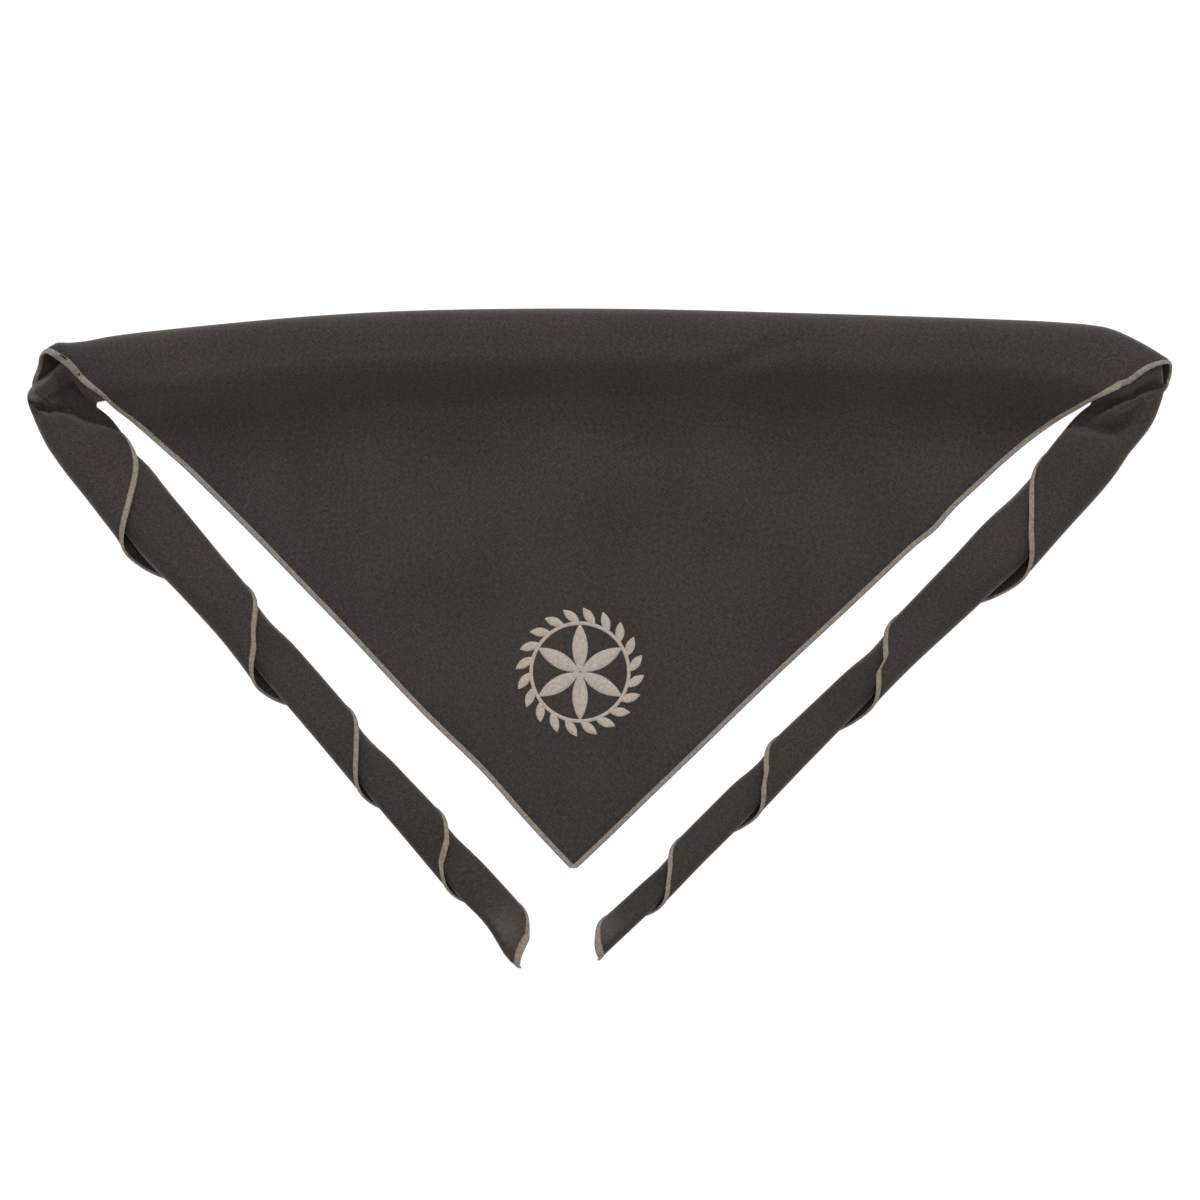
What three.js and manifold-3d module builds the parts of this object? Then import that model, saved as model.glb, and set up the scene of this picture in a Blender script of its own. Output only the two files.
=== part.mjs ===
// A neckerchief lying on a table: one right-angled triangle of cloth, rolled up from its long edge
// towards its point. A flat panel is left below the roll, and the two ends of the roll turn down and
// inwards beside the panel as tails. An overlocked thread binding runs along the two short sides, and
// an embroidered rosette in a leaf wreath sits above the point.
//
// Millimetres. +X is to the right, +Y away from the point, +Z up. The origin is on the underside of
// the panel, where the cloth lies on the table.
//
// A place on the cloth is named by s, the distance along the roll from its middle, and by how far the
// cloth has gone from the crest of the roll: depth, down the panel, or turn, into the roll. A turn
// counts half turns of the scroll, so 0 is the crest, 0.5 the outer side, 1 the bottom, 1.5 the inner
// side and 2 the top again.

import * as THREE from 'three';
import Module from 'manifold-3d';
import * as BufferGeometryUtils from 'three/addons/utils/BufferGeometryUtils.js';

// The cloth
const SIDE = 850; // each short side of the flat triangle
const CLOTH_WALL = 1;
const LONG_HEM_WIDTH = 7; // the long edge is turned over and stitched
const LONG_HEM_WALL = 1.2;

// The binding along the two short sides
const BINDING_WIDTH = 2.6;
const BINDING_WALL = 1.3;
const SEAM_GAP = 0.3; // between the cloth's cut edge and the binding, and under the embroidery

// The panel
const PANEL_DEPTH = 252; // cloth from the crest of the roll to the point
const CORNER_TUCK = 8.7; // what the bend of the roll draws in of each upper corner
const TUCK_DEPTH = 190; // how far down the panel that reaches
const PANEL_LEAN = 2.7; // degrees: the point lies to the left of the middle of the roll
const FALL_ANGLE = 50; // degrees: how steeply the panel comes off the roll
const LANDING_RADIUS = 25; // where it bends flat onto the table
const ROLL_SHIFT = 9.8; // the cloth lies askew, so the right tail gains what the left tail loses

// The roll
const ROLL_MIDDLE = { x: -0.8, y: 136 };
const ROLL_RADIUS = 11.8; // of the outermost half turn
const ROLL_FLAT = 8; // the flattened width between the two round sides of the scroll
const LAYER_PITCH = 1.6; // from one full turn to the next inside it
const FLAT_SHARE = 0.1; // of a half turn, at each of its ends

// The route of the roll on each side of its middle. Each stretch takes shares of its run, with the
// turn in degrees over each share
const SIDES = {
  left: { sign: -1, topRun: 234, elbowRadius: 16.8, elbowTurn: 125.9 },
  right: { sign: 1, topRun: 229.6, elbowRadius: 18.4, elbowTurn: 127 },
};
const TOP_BENDS = [
  { share: 0.3, left: 1.2, right: 1.8 },
  { share: 0.55, left: 5.3, right: 0.5 },
  { share: 0.15, left: 2, right: 6 },
];
const TAIL_BENDS = [
  { share: 0.3, left: -3, right: 0.2 },
  { share: 0.35, left: 0.2, right: 0.2 },
  { share: 0.35, left: 0.2, right: -0.4 },
];

// Where the bound edge crosses each place of the scroll, as a share of the tail
const EDGE_CROSSINGS = [
  { turn: 0, left: 0, right: 0 },
  { turn: 0.25, left: 0.004, right: 0.004 },
  { turn: 0.5, left: 0.012, right: 0.014 },
  { turn: 0.75, left: 0.032, right: 0.037 },
  { turn: 1, left: 0.065, right: 0.08 },
  { turn: 1.5, left: 0.138, right: 0.173 },
  { turn: 2, left: 0.2, right: 0.236 },
  { turn: 2.5, left: 0.25, right: 0.3 },
  { turn: 2.75, left: 0.31, right: 0.355 },
  { turn: 3.5, left: 0.397, right: 0.448 },
  { turn: 4, left: 0.445, right: 0.495 },
  { turn: 4.5, left: 0.5, right: 0.548 },
  { turn: 4.75, left: 0.54, right: 0.595 },
  { turn: 5.5, left: 0.604, right: 0.66 },
  { turn: 6.5, left: 0.698, right: 0.742 },
  { turn: 6.75, left: 0.727, right: 0.777 },
  { turn: 7.5, left: 0.782, right: 0.835 },
  { turn: 8.5, left: 0.868, right: 0.905 },
  { turn: 8.75, left: 0.894, right: 0.927 },
  { turn: 9.5, left: 0.95, right: 0.968 },
  { turn: 10, left: 0.988, right: 0.99 },
];

// The flattened width of the scroll along a tail, as a share of the roll's own
const TAIL_SECTIONS = [
  { share: 0, left: 0.85, right: 0.7 },
  { share: 0.08, left: 0.95, right: 0.9 },
  { share: 0.24, left: 1.3, right: 1.1 },
  { share: 0.34, left: 0.9, right: 0.7 },
  { share: 0.54, left: 0.65, right: 0.25 },
  { share: 0.73, left: 0.9, right: 0.5 },
  { share: 0.93, left: 1.3, right: 0.45 },
  { share: 1, left: 1.05, right: 0.45 },
];

// How far the loose edge stands off the outer side of the roll, as a share of the roll's radius
const LOOSE_EDGES = [
  { turn: 0.5, left: 0.35, right: 0.55 },
  { turn: 2.5, left: 0.42, right: 0.38 },
  { turn: 4.5, left: 0.2, right: 0.2 },
  { turn: 6.5, left: 0.08, right: 0.12 },
  { turn: 8.5, left: 0.1, right: 0.12 },
];
const LOOSE_REACH = 1.1; // half turns behind the edge over which the cloth settles back

// Creases where the roll is bent at the elbows, running inwards from the outer side. The place is a
// share of the elbow, the depth a share of the roll's radius
const ELBOW_CREASES = [
  { place: 0.62, depth: 0.07, width: 0.13 },
  { place: 0.95, depth: 0.09, width: 0.16 },
];

// The embroidery
const MOTIF = { x: -9, y: -15, wall: 0.6 };
const WREATH_RADIUS = 22.5;
const WREATH_STEM = 1.8;
const LEAF_COUNT = 20;
const LEAF_LENGTH = 10;
const LEAF_WIDTH = 4.4;
const LEAF_LEAN = 52; // degrees from pointing straight out
const PETAL_COUNT = 6;
const PETAL_WIDTH = 7.5;
const ROSETTE_HEART = 3.2;

// How finely the curved faces are divided
const TOP_SPANS = 4;
const ELBOW_SPANS = 8;
const TAIL_COLUMNS = [0.12, 0.22, 0.32, 0.5, 0.68, 0.84, 0.94];
const PANEL_FLAT_ROWS = 6;
// Segments round each half turn, from this one on
const ROUND_SEGMENTS = [
  { from: 0, segments: 8 },
  { from: 1, segments: 5 },
  { from: 6, segments: 4 },
  { from: 9, segments: 3 },
];
const NEAREST_COLUMN = 2.5; // a column closer than this to the cut edge is left out of that row
const ROUTE_STEP = 2; // for measuring how far a place on the panel lies from the roll

const LONG_HALF = SIDE * Math.SQRT1_2; // half the long edge, and also the depth of the triangle
const ROLLED_DEPTH = LONG_HALF - PANEL_DEPTH;
const PANEL_HALF = PANEL_DEPTH - CORNER_TUCK; // half the panel's width along the crest
const BINDING_PROUD = (BINDING_WALL - CLOTH_WALL) / 2;
const POINT_INSET = (BINDING_WIDTH + SEAM_GAP) * Math.SQRT2; // at the point, between 45 degree edges
const ROLL_FLOOR = CLOTH_WALL / 2 + 2 * BINDING_PROUD;
const ROLL_CENTRE_HEIGHT = ROLL_FLOOR + ROLL_RADIUS;

const radians = THREE.MathUtils.degToRad;
const { clamp, lerp, smoothstep } = THREE.MathUtils;

/** Reads a column of a table at a place between its rows. */
function readTable(table, key, at, column) {
  const last = table.length - 1;
  if (at <= table[0][key]) return table[0][column];
  if (at >= table[last][key]) return table[last][column];
  const next = table.findIndex((row) => row[key] > at);
  const [before, after] = [table[next - 1], table[next]];
  const share = (at - before[key]) / (after[key] - before[key]);
  return lerp(before[column], after[column], share);
}

/** The radius of the scroll's half turn with this number. */
function halfTurnRadius(number) {
  return ROLL_RADIUS - (number * LAYER_PITCH) / 2;
}

/** The cloth in the scroll's half turn with this number. */
function halfTurnLength(number) {
  return Math.PI * halfTurnRadius(number) + ROLL_FLAT;
}

/** How many half turns the rolled cloth makes, counted from the crest. */
function countTurns() {
  let left = ROLLED_DEPTH;
  let number = 0;
  while (true) {
    const length = halfTurnLength(number);
    if (left <= length) return number + left / length;
    left -= length;
    number += 1;
  }
}

const LAST_TURN = countTurns();
const CROSSINGS = [
  ...EDGE_CROSSINGS.filter((row) => row.turn < LAST_TURN - 2 * FLAT_SHARE),
  { turn: LAST_TURN, left: 1, right: 1 },
];

/** One side of the roll's centreline, as arcs laid end to end from the middle. */
function routeOf(name) {
  const side = SIDES[name];
  const tail = LONG_HALF - PANEL_HALF + side.sign * ROLL_SHIFT;
  const elbowRun = side.elbowRadius * radians(side.elbowTurn);
  const tailRun = PANEL_HALF + tail - side.topRun - elbowRun;
  const bends = [
    ...TOP_BENDS.map((bend) => ({ run: bend.share * side.topRun, turn: bend[name] })),
    { run: elbowRun, turn: side.elbowTurn },
    ...TAIL_BENDS.map((bend) => ({ run: bend.share * tailRun, turn: bend[name] })),
  ];
  let heading = side.sign > 0 ? 0 : Math.PI;
  let at = new THREE.Vector2(ROLL_MIDDLE.x, ROLL_MIDDLE.y);
  let start = 0;
  const arcs = [];
  for (const bend of bends) {
    const turn = -side.sign * radians(bend.turn);
    arcs.push({ start, at, heading, bend: turn / bend.run });
    at = alongArc(arcs.at(-1), bend.run).at;
    heading += turn;
    start += bend.run;
  }
  return { name, ...side, tail, elbowRun, length: start, arcs };
}

/** The place and heading after a run along an arc. */
function alongArc(arc, run) {
  const heading = arc.heading + arc.bend * run;
  const radius = 1 / arc.bend;
  const at = new THREE.Vector2(
    arc.at.x + radius * (Math.sin(heading) - Math.sin(arc.heading)),
    arc.at.y - radius * (Math.cos(heading) - Math.cos(arc.heading)),
  );
  return { at, heading };
}

const ROUTES = { left: routeOf('left'), right: routeOf('right') };

/** The side of the roll that a signed distance from its middle lies on. */
function sideOf(s) {
  return s < 0 ? ROUTES.left : ROUTES.right;
}

/** The share of the tail at a distance along the roll, 0 before the tail begins. */
function tailShare(s) {
  const route = sideOf(s);
  return clamp((Math.abs(s) - PANEL_HALF) / route.tail, 0, 1);
}

/** How far the bound edge has wound into the scroll at a share of the tail. */
function edgeTurn(route, share) {
  return readTable(CROSSINGS, route.name, share, 'turn');
}

/** The centreline of the roll at s, with the direction that points to its outer side. */
function centreline(s) {
  const route = sideOf(s);
  const run = Math.abs(s);
  const arc = route.arcs.findLast((one) => one.start <= run);
  const { at, heading } = alongArc(arc, run - arc.start);
  const out = new THREE.Vector2(-Math.sin(heading), Math.cos(heading)).multiplyScalar(route.sign);
  return { at, out };
}

/** The flattened width of the scroll at s. */
function flatAt(s) {
  const route = sideOf(s);
  const share = readTable(TAIL_SECTIONS, 'share', tailShare(s), route.name);
  const leaving = smoothstep(Math.abs(s), route.topRun - ROLL_RADIUS, PANEL_HALF);
  return ROLL_FLAT * lerp(1, share, leaving);
}

/** The height of the scroll's centre at s, so that its outermost layer rests on the table. */
function centreHeight(s) {
  const route = sideOf(s);
  const under = Math.max(0, (edgeTurn(route, tailShare(s)) - 1 - FLAT_SHARE) / 2);
  return ROLL_CENTRE_HEIGHT - LAYER_PITCH * under;
}

/** How deep a crease presses into the elbow at s, deepest on the upper inner side. */
function creaseDepth(s, sideways, upwards) {
  const route = sideOf(s);
  const place = (Math.abs(s) - route.topRun) / route.elbowRun;
  const facing = Math.max(0, upwards) * (1 - 0.6 * Math.max(0, sideways));
  return ELBOW_CREASES.reduce(
    (sum, crease) => sum + crease.depth * ROLL_RADIUS * facing
      * Math.exp(-(((place - crease.place) / crease.width) ** 2)),
    0,
  );
}

/** How far the loose edge stands off the roll at s and turn, on the outer side only. */
function looseLift(s, turn, around) {
  const route = sideOf(s);
  const before = Math.max(0, PANEL_HALF - Math.abs(s)) / halfTurnLength(0);
  const behind = Math.max(0, turn - edgeTurn(route, tailShare(s))) + before;
  const settled = clamp(1 - behind / LOOSE_REACH, 0, 1) ** 2;
  return ROLL_RADIUS * readTable(LOOSE_EDGES, 'turn', turn, route.name) * settled * Math.sin(around);
}

/** A place in the scroll: a point on the middle of the cloth, and the way its outer face looks. */
function placeInScroll(s, turn) {
  const number = Math.min(Math.floor(turn), Math.ceil(LAST_TURN) - 1);
  const part = turn - number;
  const around = clamp((part - FLAT_SHARE) / (1 - 2 * FLAT_SHARE), 0, 1) * Math.PI;
  const fromFlatEnd = Math.min(part, 1 - part, FLAT_SHARE) / FLAT_SHARE;
  const outerHalf = number % 2 === 0;
  const way = outerHalf ? 1 : -1;
  const [sideways, upwards] = [way * Math.sin(around), way * Math.cos(around)];
  const lift = outerHalf ? looseLift(s, turn, around) : 0;
  const reach = halfTurnRadius(number) - creaseDepth(s, sideways, upwards);
  const offset = way * (flatAt(s) / 2) * fromFlatEnd + reach * sideways + lift;
  const height = centreHeight(s) - (outerHalf ? 0 : LAYER_PITCH / 2) + reach * upwards;
  const { at, out } = centreline(s);
  return {
    point: new THREE.Vector3(at.x + offset * out.x, at.y + offset * out.y, height),
    normal: new THREE.Vector3(sideways * out.x, sideways * out.y, upwards),
  };
}

// The fall of the panel off the roll, seen from the side: flat, round, straight, round, flat
const FALL = (() => {
  const angle = radians(FALL_ANGLE);
  const crest = ROLL_CENTRE_HEIGHT + ROLL_RADIUS;
  const table = CLOTH_WALL / 2;
  const slopeTop = ROLL_CENTRE_HEIGHT + ROLL_RADIUS * Math.cos(angle);
  const slopeFoot = table + LANDING_RADIUS * (1 - Math.cos(angle));
  const slope = (slopeTop - slopeFoot) / Math.sin(angle);
  const parts = [
    { run: ROLL_FLAT / 2, from: 0, to: 0 },
    { run: ROLL_RADIUS * angle, from: 0, to: angle },
    { run: slope, from: angle, to: angle },
    { run: LANDING_RADIUS * angle, from: angle, to: 0 },
  ];
  return { crest, table, parts, run: parts.reduce((sum, part) => sum + part.run, 0) };
})();
const FALL_STEPS = [1, 3, 1, 3];

/** Integrates the fall over a run of cloth: how far out it has gone and how high it is. */
function alongFall(run) {
  let [out, height, left] = [0, FALL.crest, run];
  for (const part of FALL.parts) {
    const used = Math.min(left, part.run);
    const to = lerp(part.from, part.to, used / part.run);
    const mean = (part.from + to) / 2;
    const chord = to === part.from ? used : used * Math.sin((to - part.from) / 2) / ((to - part.from) / 2);
    out += chord * Math.cos(mean);
    height -= chord * Math.sin(mean);
    left -= used;
    if (left <= 0) return { out, height };
  }
  return { out: out + left, height };
}

/** The height of the panel at a distance from the crest, seen from above. */
function heightAway(distance) {
  let [low, high] = [0, FALL.run];
  if (distance >= alongFall(high).out) return FALL.table;
  for (let step = 0; step < 30; step += 1) {
    const middle = (low + high) / 2;
    if (alongFall(middle).out < distance) low = middle;
    else high = middle;
  }
  return alongFall(low).height;
}

const ROUTE_POINTS = Object.values(ROUTES).flatMap((route) => {
  const count = Math.ceil(route.length / ROUTE_STEP);
  const runs = Array.from({ length: count }, (_, step) => (step * route.length) / count);
  return runs.map((run) => centreline(route.sign * run).at);
});

/** How far a place seen from above lies from the centreline of the roll. */
function awayFromRoll(at) {
  return ROUTE_POINTS.reduce((least, point) => Math.min(least, point.distanceTo(at)), Infinity);
}

/** A point on the middle of the cloth of the panel. */
function pointOnPanel(s, depth) {
  const { at } = centreline(s);
  const lean = radians(PANEL_LEAN);
  const { out } = alongFall(depth);
  const droop = ROLL_MIDDLE.y - at.y;
  const seen = new THREE.Vector2(
    at.x - out * Math.sin(lean),
    at.y - out * Math.cos(lean) + droop * (depth / PANEL_DEPTH),
  );
  const height = depth < FALL.run + ROLL_RADIUS ? heightAway(awayFromRoll(seen)) : FALL.table;
  return new THREE.Vector3(seen.x, seen.y, depth === 0 ? FALL.crest : height);
}

/** A place on the panel: a point on the middle of the cloth, and the way its upper face looks. */
function placeOnPanel(s, depth) {
  const point = pointOnPanel(s, depth);
  if (depth === 0 || depth > FALL.run + ROLL_RADIUS) return { point, normal: new THREE.Vector3(0, 0, 1) };
  const step = 0.5;
  const along = pointOnPanel(s + step, depth).sub(pointOnPanel(s - step, depth));
  const down = pointOnPanel(s, depth + step).sub(pointOnPanel(s, depth - step));
  return { point, normal: down.cross(along).normalize() };
}

/** A row of the cloth on the panel: how far it reaches each way, and its places. */
function panelRow(depth) {
  const tuck = CORNER_TUCK * clamp(1 - depth / TUCK_DEPTH, 0, 1) ** 2;
  const reach = PANEL_DEPTH - depth - tuck;
  return { reach: () => reach, place: (s) => placeOnPanel(s, depth), wall: CLOTH_WALL };
}

/** A row of the cloth in the scroll. */
function scrollRow(turn) {
  const shareOf = (route) => readTable(CROSSINGS, 'turn', turn, route.name);
  return {
    reach: (route) => PANEL_HALF + route.tail * shareOf(route),
    place: (s) => placeInScroll(s, turn),
    wall: turn > HEM_TURN ? LONG_HEM_WALL : CLOTH_WALL,
  };
}

const HEM_TURN = LAST_TURN - LONG_HEM_WIDTH / halfTurnLength(Math.floor(LAST_TURN));

/** The depths of the panel's rows, from the point up to the crest. */
function panelDepths() {
  const depths = [0];
  let start = 0;
  FALL.parts.forEach((part, number) => {
    for (let step = 1; step <= FALL_STEPS[number]; step += 1) {
      depths.push(start + (part.run * step) / FALL_STEPS[number]);
    }
    start += part.run;
  });
  const point = PANEL_DEPTH - POINT_INSET;
  for (let step = 1; step <= PANEL_FLAT_ROWS; step += 1) {
    depths.push(lerp(start, point, step / PANEL_FLAT_ROWS));
  }
  return depths.reverse();
}

/** The turns of the scroll's rows, from the crest in to the long edge. */
function scrollTurns() {
  const turns = [];
  for (let number = 0; number < LAST_TURN; number += 1) {
    const { segments } = ROUND_SEGMENTS.findLast((row) => row.from <= number);
    for (let step = 0; step <= segments; step += 1) {
      turns.push(number + lerp(FLAT_SHARE, 1 - FLAT_SHARE, step / segments));
    }
  }
  const tooClose = 0.08;
  const kept = turns.filter((turn) => turn < LAST_TURN - tooClose && Math.abs(turn - HEM_TURN) > tooClose);
  return [...kept, HEM_TURN, HEM_TURN + tooClose / 4, LAST_TURN].sort((a, b) => a - b);
}

const PANEL_ROWS = panelDepths().map(panelRow);
const SCROLL_ROWS = scrollTurns().map(scrollRow);
const ROWS = [...PANEL_ROWS, ...SCROLL_ROWS];

/** The distances along the roll at which every row has a vertex. */
function columnsOf(route) {
  const columns = [];
  for (let step = 1; step <= TOP_SPANS; step += 1) columns.push((route.topRun * step) / TOP_SPANS);
  for (let step = 1; step <= ELBOW_SPANS; step += 1) {
    columns.push(route.topRun + (route.elbowRun * step) / ELBOW_SPANS);
  }
  const elbowEnd = route.topRun + route.elbowRun;
  const tail = TAIL_COLUMNS.map((share) => PANEL_HALF + route.tail * share);
  return [...columns, ...tail.filter((s) => s > elbowEnd + NEAREST_COLUMN)];
}

const COLUMNS = [
  ...columnsOf(ROUTES.left).map((s) => -s).reverse(),
  0,
  ...columnsOf(ROUTES.right),
];

/** Where a row is this far inside the edge, measured square to the edge on the bent cloth. */
function insideEdge(row, route, distance) {
  const edge = route.sign * row.reach(route);
  const run = route.sign * distance * Math.SQRT2;
  const bent = row.place(edge).point.distanceTo(row.place(edge - run).point);
  return edge - run * (Math.abs(run) / bent);
}

/** The places along a row where it has vertices, from its left end to its right end. */
function stationsOf(row) {
  const left = insideEdge(row, ROUTES.left, BINDING_WIDTH + SEAM_GAP);
  const right = insideEdge(row, ROUTES.right, BINDING_WIDTH + SEAM_GAP);
  if (right < NEAREST_COLUMN) return [0];
  const inside = COLUMNS.filter((s) => s > left + NEAREST_COLUMN && s < right - NEAREST_COLUMN);
  return [left, ...inside, right];
}

/** Turns a list of points and triangles into a geometry whose faces point out. */
function solidFrom(points, triangles) {
  const geometry = new THREE.BufferGeometry().setFromPoints(points);
  const volume = triangles.reduce((sum, [a, b, c]) => {
    const across = new THREE.Vector3().crossVectors(points[b], points[c]);
    return sum + points[a].dot(across);
  }, 0);
  geometry.setIndex((volume < 0 ? triangles.map(([a, b, c]) => [a, c, b]) : triangles).flat());
  geometry.computeVertexNormals();
  return geometry;
}

/** The cloth: two skins over all the rows, closed by a rim along every cut edge. */
function clothGeometry() {
  const points = [];
  const triangles = [];
  const rows = ROWS.map((row) => stationsOf(row).map((s) => {
    const { point, normal } = row.place(s);
    const half = row.wall / 2;
    points.push(point.clone().addScaledVector(normal, half), point.clone().addScaledVector(normal, -half));
    return { s, outer: points.length - 2, inner: points.length - 1 };
  }));
  for (let number = 1; number < rows.length; number += 1) {
    zip(rows[number - 1], rows[number], (a, b, c) => {
      triangles.push([a.outer, b.outer, c.outer], [a.inner, c.inner, b.inner]);
    });
  }
  const rim = [
    ...rows.map((row) => row[0]),
    ...rows.at(-1).slice(1, -1),
    ...rows.map((row) => row.at(-1)).reverse().slice(0, -1),
  ];
  rim.forEach((one, number) => {
    const next = rim[(number + 1) % rim.length];
    triangles.push([one.outer, next.inner, one.inner], [one.outer, next.outer, next.inner]);
  });
  return solidFrom(points, triangles);
}

/** Joins two rows of vertices with triangles, always stepping on where the next one comes first. */
function zip(upper, lower, triangle) {
  let [i, j] = [0, 0];
  while (i < upper.length - 1 || j < lower.length - 1) {
    const upperNext = i < upper.length - 1 ? upper[i + 1].s : Infinity;
    const lowerNext = j < lower.length - 1 ? lower[j + 1].s : Infinity;
    if (upperNext < lowerNext) {
      triangle(upper[i], upper[i + 1], lower[j]);
      i += 1;
    } else {
      triangle(upper[i], lower[j + 1], lower[j]);
      j += 1;
    }
  }
}

/** One cut across the binding where a row of the cloth meets it: four corners. */
function bindingSection(row, route) {
  const places = [insideEdge(row, route, BINDING_WIDTH), route.sign * row.reach(route)];
  return places.flatMap((s) => bindingWall(row.place(s)));
}

/** The lower and upper face of the binding at a place. */
function bindingWall({ point, normal }) {
  const [low, high] = [-CLOTH_WALL / 2, BINDING_WALL - CLOTH_WALL / 2];
  return [low, high].map((height) => point.clone().addScaledVector(normal, height));
}

/** The binding's mitre at the point of the panel. */
function bindingMitre() {
  const depths = [PANEL_DEPTH - BINDING_WIDTH * Math.SQRT2, PANEL_DEPTH];
  return depths.flatMap((depth) => bindingWall(placeOnPanel(0, depth)));
}

/** The binding: one bar from the left tip round the point of the panel to the right tip. */
function bindingGeometry() {
  const rows = ROWS.slice(1);
  const sections = [
    ...rows.map((row) => bindingSection(row, ROUTES.left)).reverse(),
    bindingMitre(),
    ...rows.map((row) => bindingSection(row, ROUTES.right)),
  ];
  const points = sections.flat();
  const ring = [0, 1, 3, 2];
  const triangles = [];
  for (let number = 1; number < sections.length; number += 1) {
    ring.forEach((corner, step) => {
      const next = ring[(step + 1) % ring.length];
      const [a, b] = [corner + (number - 1) * 4, next + (number - 1) * 4];
      triangles.push([a, b, b + 4], [a, b + 4, a + 4]);
    });
  }
  const end = points.length - 4;
  triangles.push([0, 3, 1], [0, 2, 3], [end, end + 1, end + 3], [end, end + 3, end + 2]);
  return solidFrom(points, triangles);
}

/** A pointed leaf shape from the origin along +X. */
function leafShape(length, width) {
  const shape = new THREE.Shape();
  shape.moveTo(0, 0);
  shape.quadraticCurveTo(length / 2, width, length, 0);
  shape.quadraticCurveTo(length / 2, -width, 0, 0);
  return shape;
}

/** Raises a flat shape to the thickness of the embroidery. */
function stitched(shape, curveSegments) {
  return new THREE.ExtrudeGeometry(shape, { depth: MOTIF.wall, bevelEnabled: false, curveSegments });
}

/** Every raised piece of the embroidery, each in its place round the middle. */
function motifPieces() {
  const ring = new THREE.Shape().absarc(0, 0, WREATH_RADIUS + WREATH_STEM / 2, 0, 2 * Math.PI);
  ring.holes.push(new THREE.Path().absarc(0, 0, WREATH_RADIUS - WREATH_STEM / 2, 0, 2 * Math.PI));
  const heart = new THREE.Shape().absarc(0, 0, ROSETTE_HEART, 0, 2 * Math.PI);
  const pieces = [stitched(ring, 20), stitched(heart, 6)];
  for (let number = 0; number < PETAL_COUNT; number += 1) {
    const petal = stitched(leafShape(WREATH_RADIUS, PETAL_WIDTH), 5);
    pieces.push(petal.rotateZ(Math.PI / 2 + (number * 2 * Math.PI) / PETAL_COUNT));
  }
  for (let number = 0; number < LEAF_COUNT; number += 1) {
    const leaf = stitched(leafShape(LEAF_LENGTH, LEAF_WIDTH), 3).rotateZ(radians(LEAF_LEAN));
    leaf.translate(WREATH_RADIUS, 0, 0).rotateZ((number * 2 * Math.PI) / LEAF_COUNT);
    pieces.push(leaf);
  }
  return pieces;
}

const wasm = await Module();
wasm.setup();

/** Makes a solid that can be joined out of a closed geometry. */
function toSolid(geometry) {
  geometry.deleteAttribute('normal');
  geometry.deleteAttribute('uv');
  const merged = BufferGeometryUtils.mergeVertices(geometry);
  const vertProperties = new Float32Array(merged.attributes.position.array);
  const triVerts = new Uint32Array(merged.index.array);
  return new wasm.Manifold(new wasm.Mesh({ numProp: 3, vertProperties, triVerts }));
}

/** The embroidery: its pieces joined into one raised body. */
function motifGeometry() {
  const joined = motifPieces().map(toSolid).reduce((sum, piece) => sum.add(piece));
  const { vertProperties, triVerts } = joined.getMesh();
  const geometry = new THREE.BufferGeometry();
  geometry.setAttribute('position', new THREE.BufferAttribute(vertProperties, 3));
  geometry.setIndex([...triVerts]);
  geometry.computeVertexNormals();
  return geometry;
}

const charcoalPoplin = new THREE.MeshStandardMaterial({ color: 0x3c3835, roughness: 0.9, metalness: 0 });
const stoneThread = new THREE.MeshStandardMaterial({ color: 0x8d8177, roughness: 0.7, metalness: 0 });
const paleThread = new THREE.MeshStandardMaterial({ color: 0xb3a79d, roughness: 0.5, metalness: 0 });

/** Makes a named mesh. */
function part(name, geometry, material) {
  const mesh = new THREE.Mesh(geometry, material);
  mesh.name = name;
  return mesh;
}

const neckerchief = new THREE.Group();
neckerchief.name = 'neckerchief';
const embroidery = part('embroidery', motifGeometry(), paleThread);
embroidery.position.set(MOTIF.x, MOTIF.y, CLOTH_WALL + SEAM_GAP);
neckerchief.add(
  part('cloth', clothGeometry(), charcoalPoplin),
  part('edge_binding', bindingGeometry(), stoneThread),
  embroidery,
);

export default neckerchief;
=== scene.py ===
"""A rolled neckerchief on a pale table: its woven cloth, overlocked edging, hem stitches and
embroidery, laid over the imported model, in a plain studio seen from straight above."""

from __future__ import annotations

import logging
import math
from dataclasses import dataclass, field
from enum import Enum
from typing import Any, Iterable

import bpy
import numpy as np
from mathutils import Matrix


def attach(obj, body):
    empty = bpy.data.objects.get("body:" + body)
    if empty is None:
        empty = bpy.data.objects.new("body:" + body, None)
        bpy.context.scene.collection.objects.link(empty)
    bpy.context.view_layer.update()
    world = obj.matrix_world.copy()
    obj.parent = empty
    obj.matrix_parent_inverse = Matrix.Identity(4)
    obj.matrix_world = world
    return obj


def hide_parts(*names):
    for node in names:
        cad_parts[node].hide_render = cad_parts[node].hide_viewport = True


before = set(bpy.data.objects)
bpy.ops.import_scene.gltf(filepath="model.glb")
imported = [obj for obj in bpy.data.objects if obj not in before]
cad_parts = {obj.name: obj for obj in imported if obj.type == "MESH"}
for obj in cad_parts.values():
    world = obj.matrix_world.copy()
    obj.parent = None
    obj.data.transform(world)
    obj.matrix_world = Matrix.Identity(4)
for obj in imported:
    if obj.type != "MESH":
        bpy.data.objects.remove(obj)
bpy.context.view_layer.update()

log = logging.getLogger("neckerchief")
MM = 0.001
ROOT_HALF = math.sqrt(0.5)
WAVE_RATE = math.tau / 20  # a wave texture turns 20 radians for each unit of its scale


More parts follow.
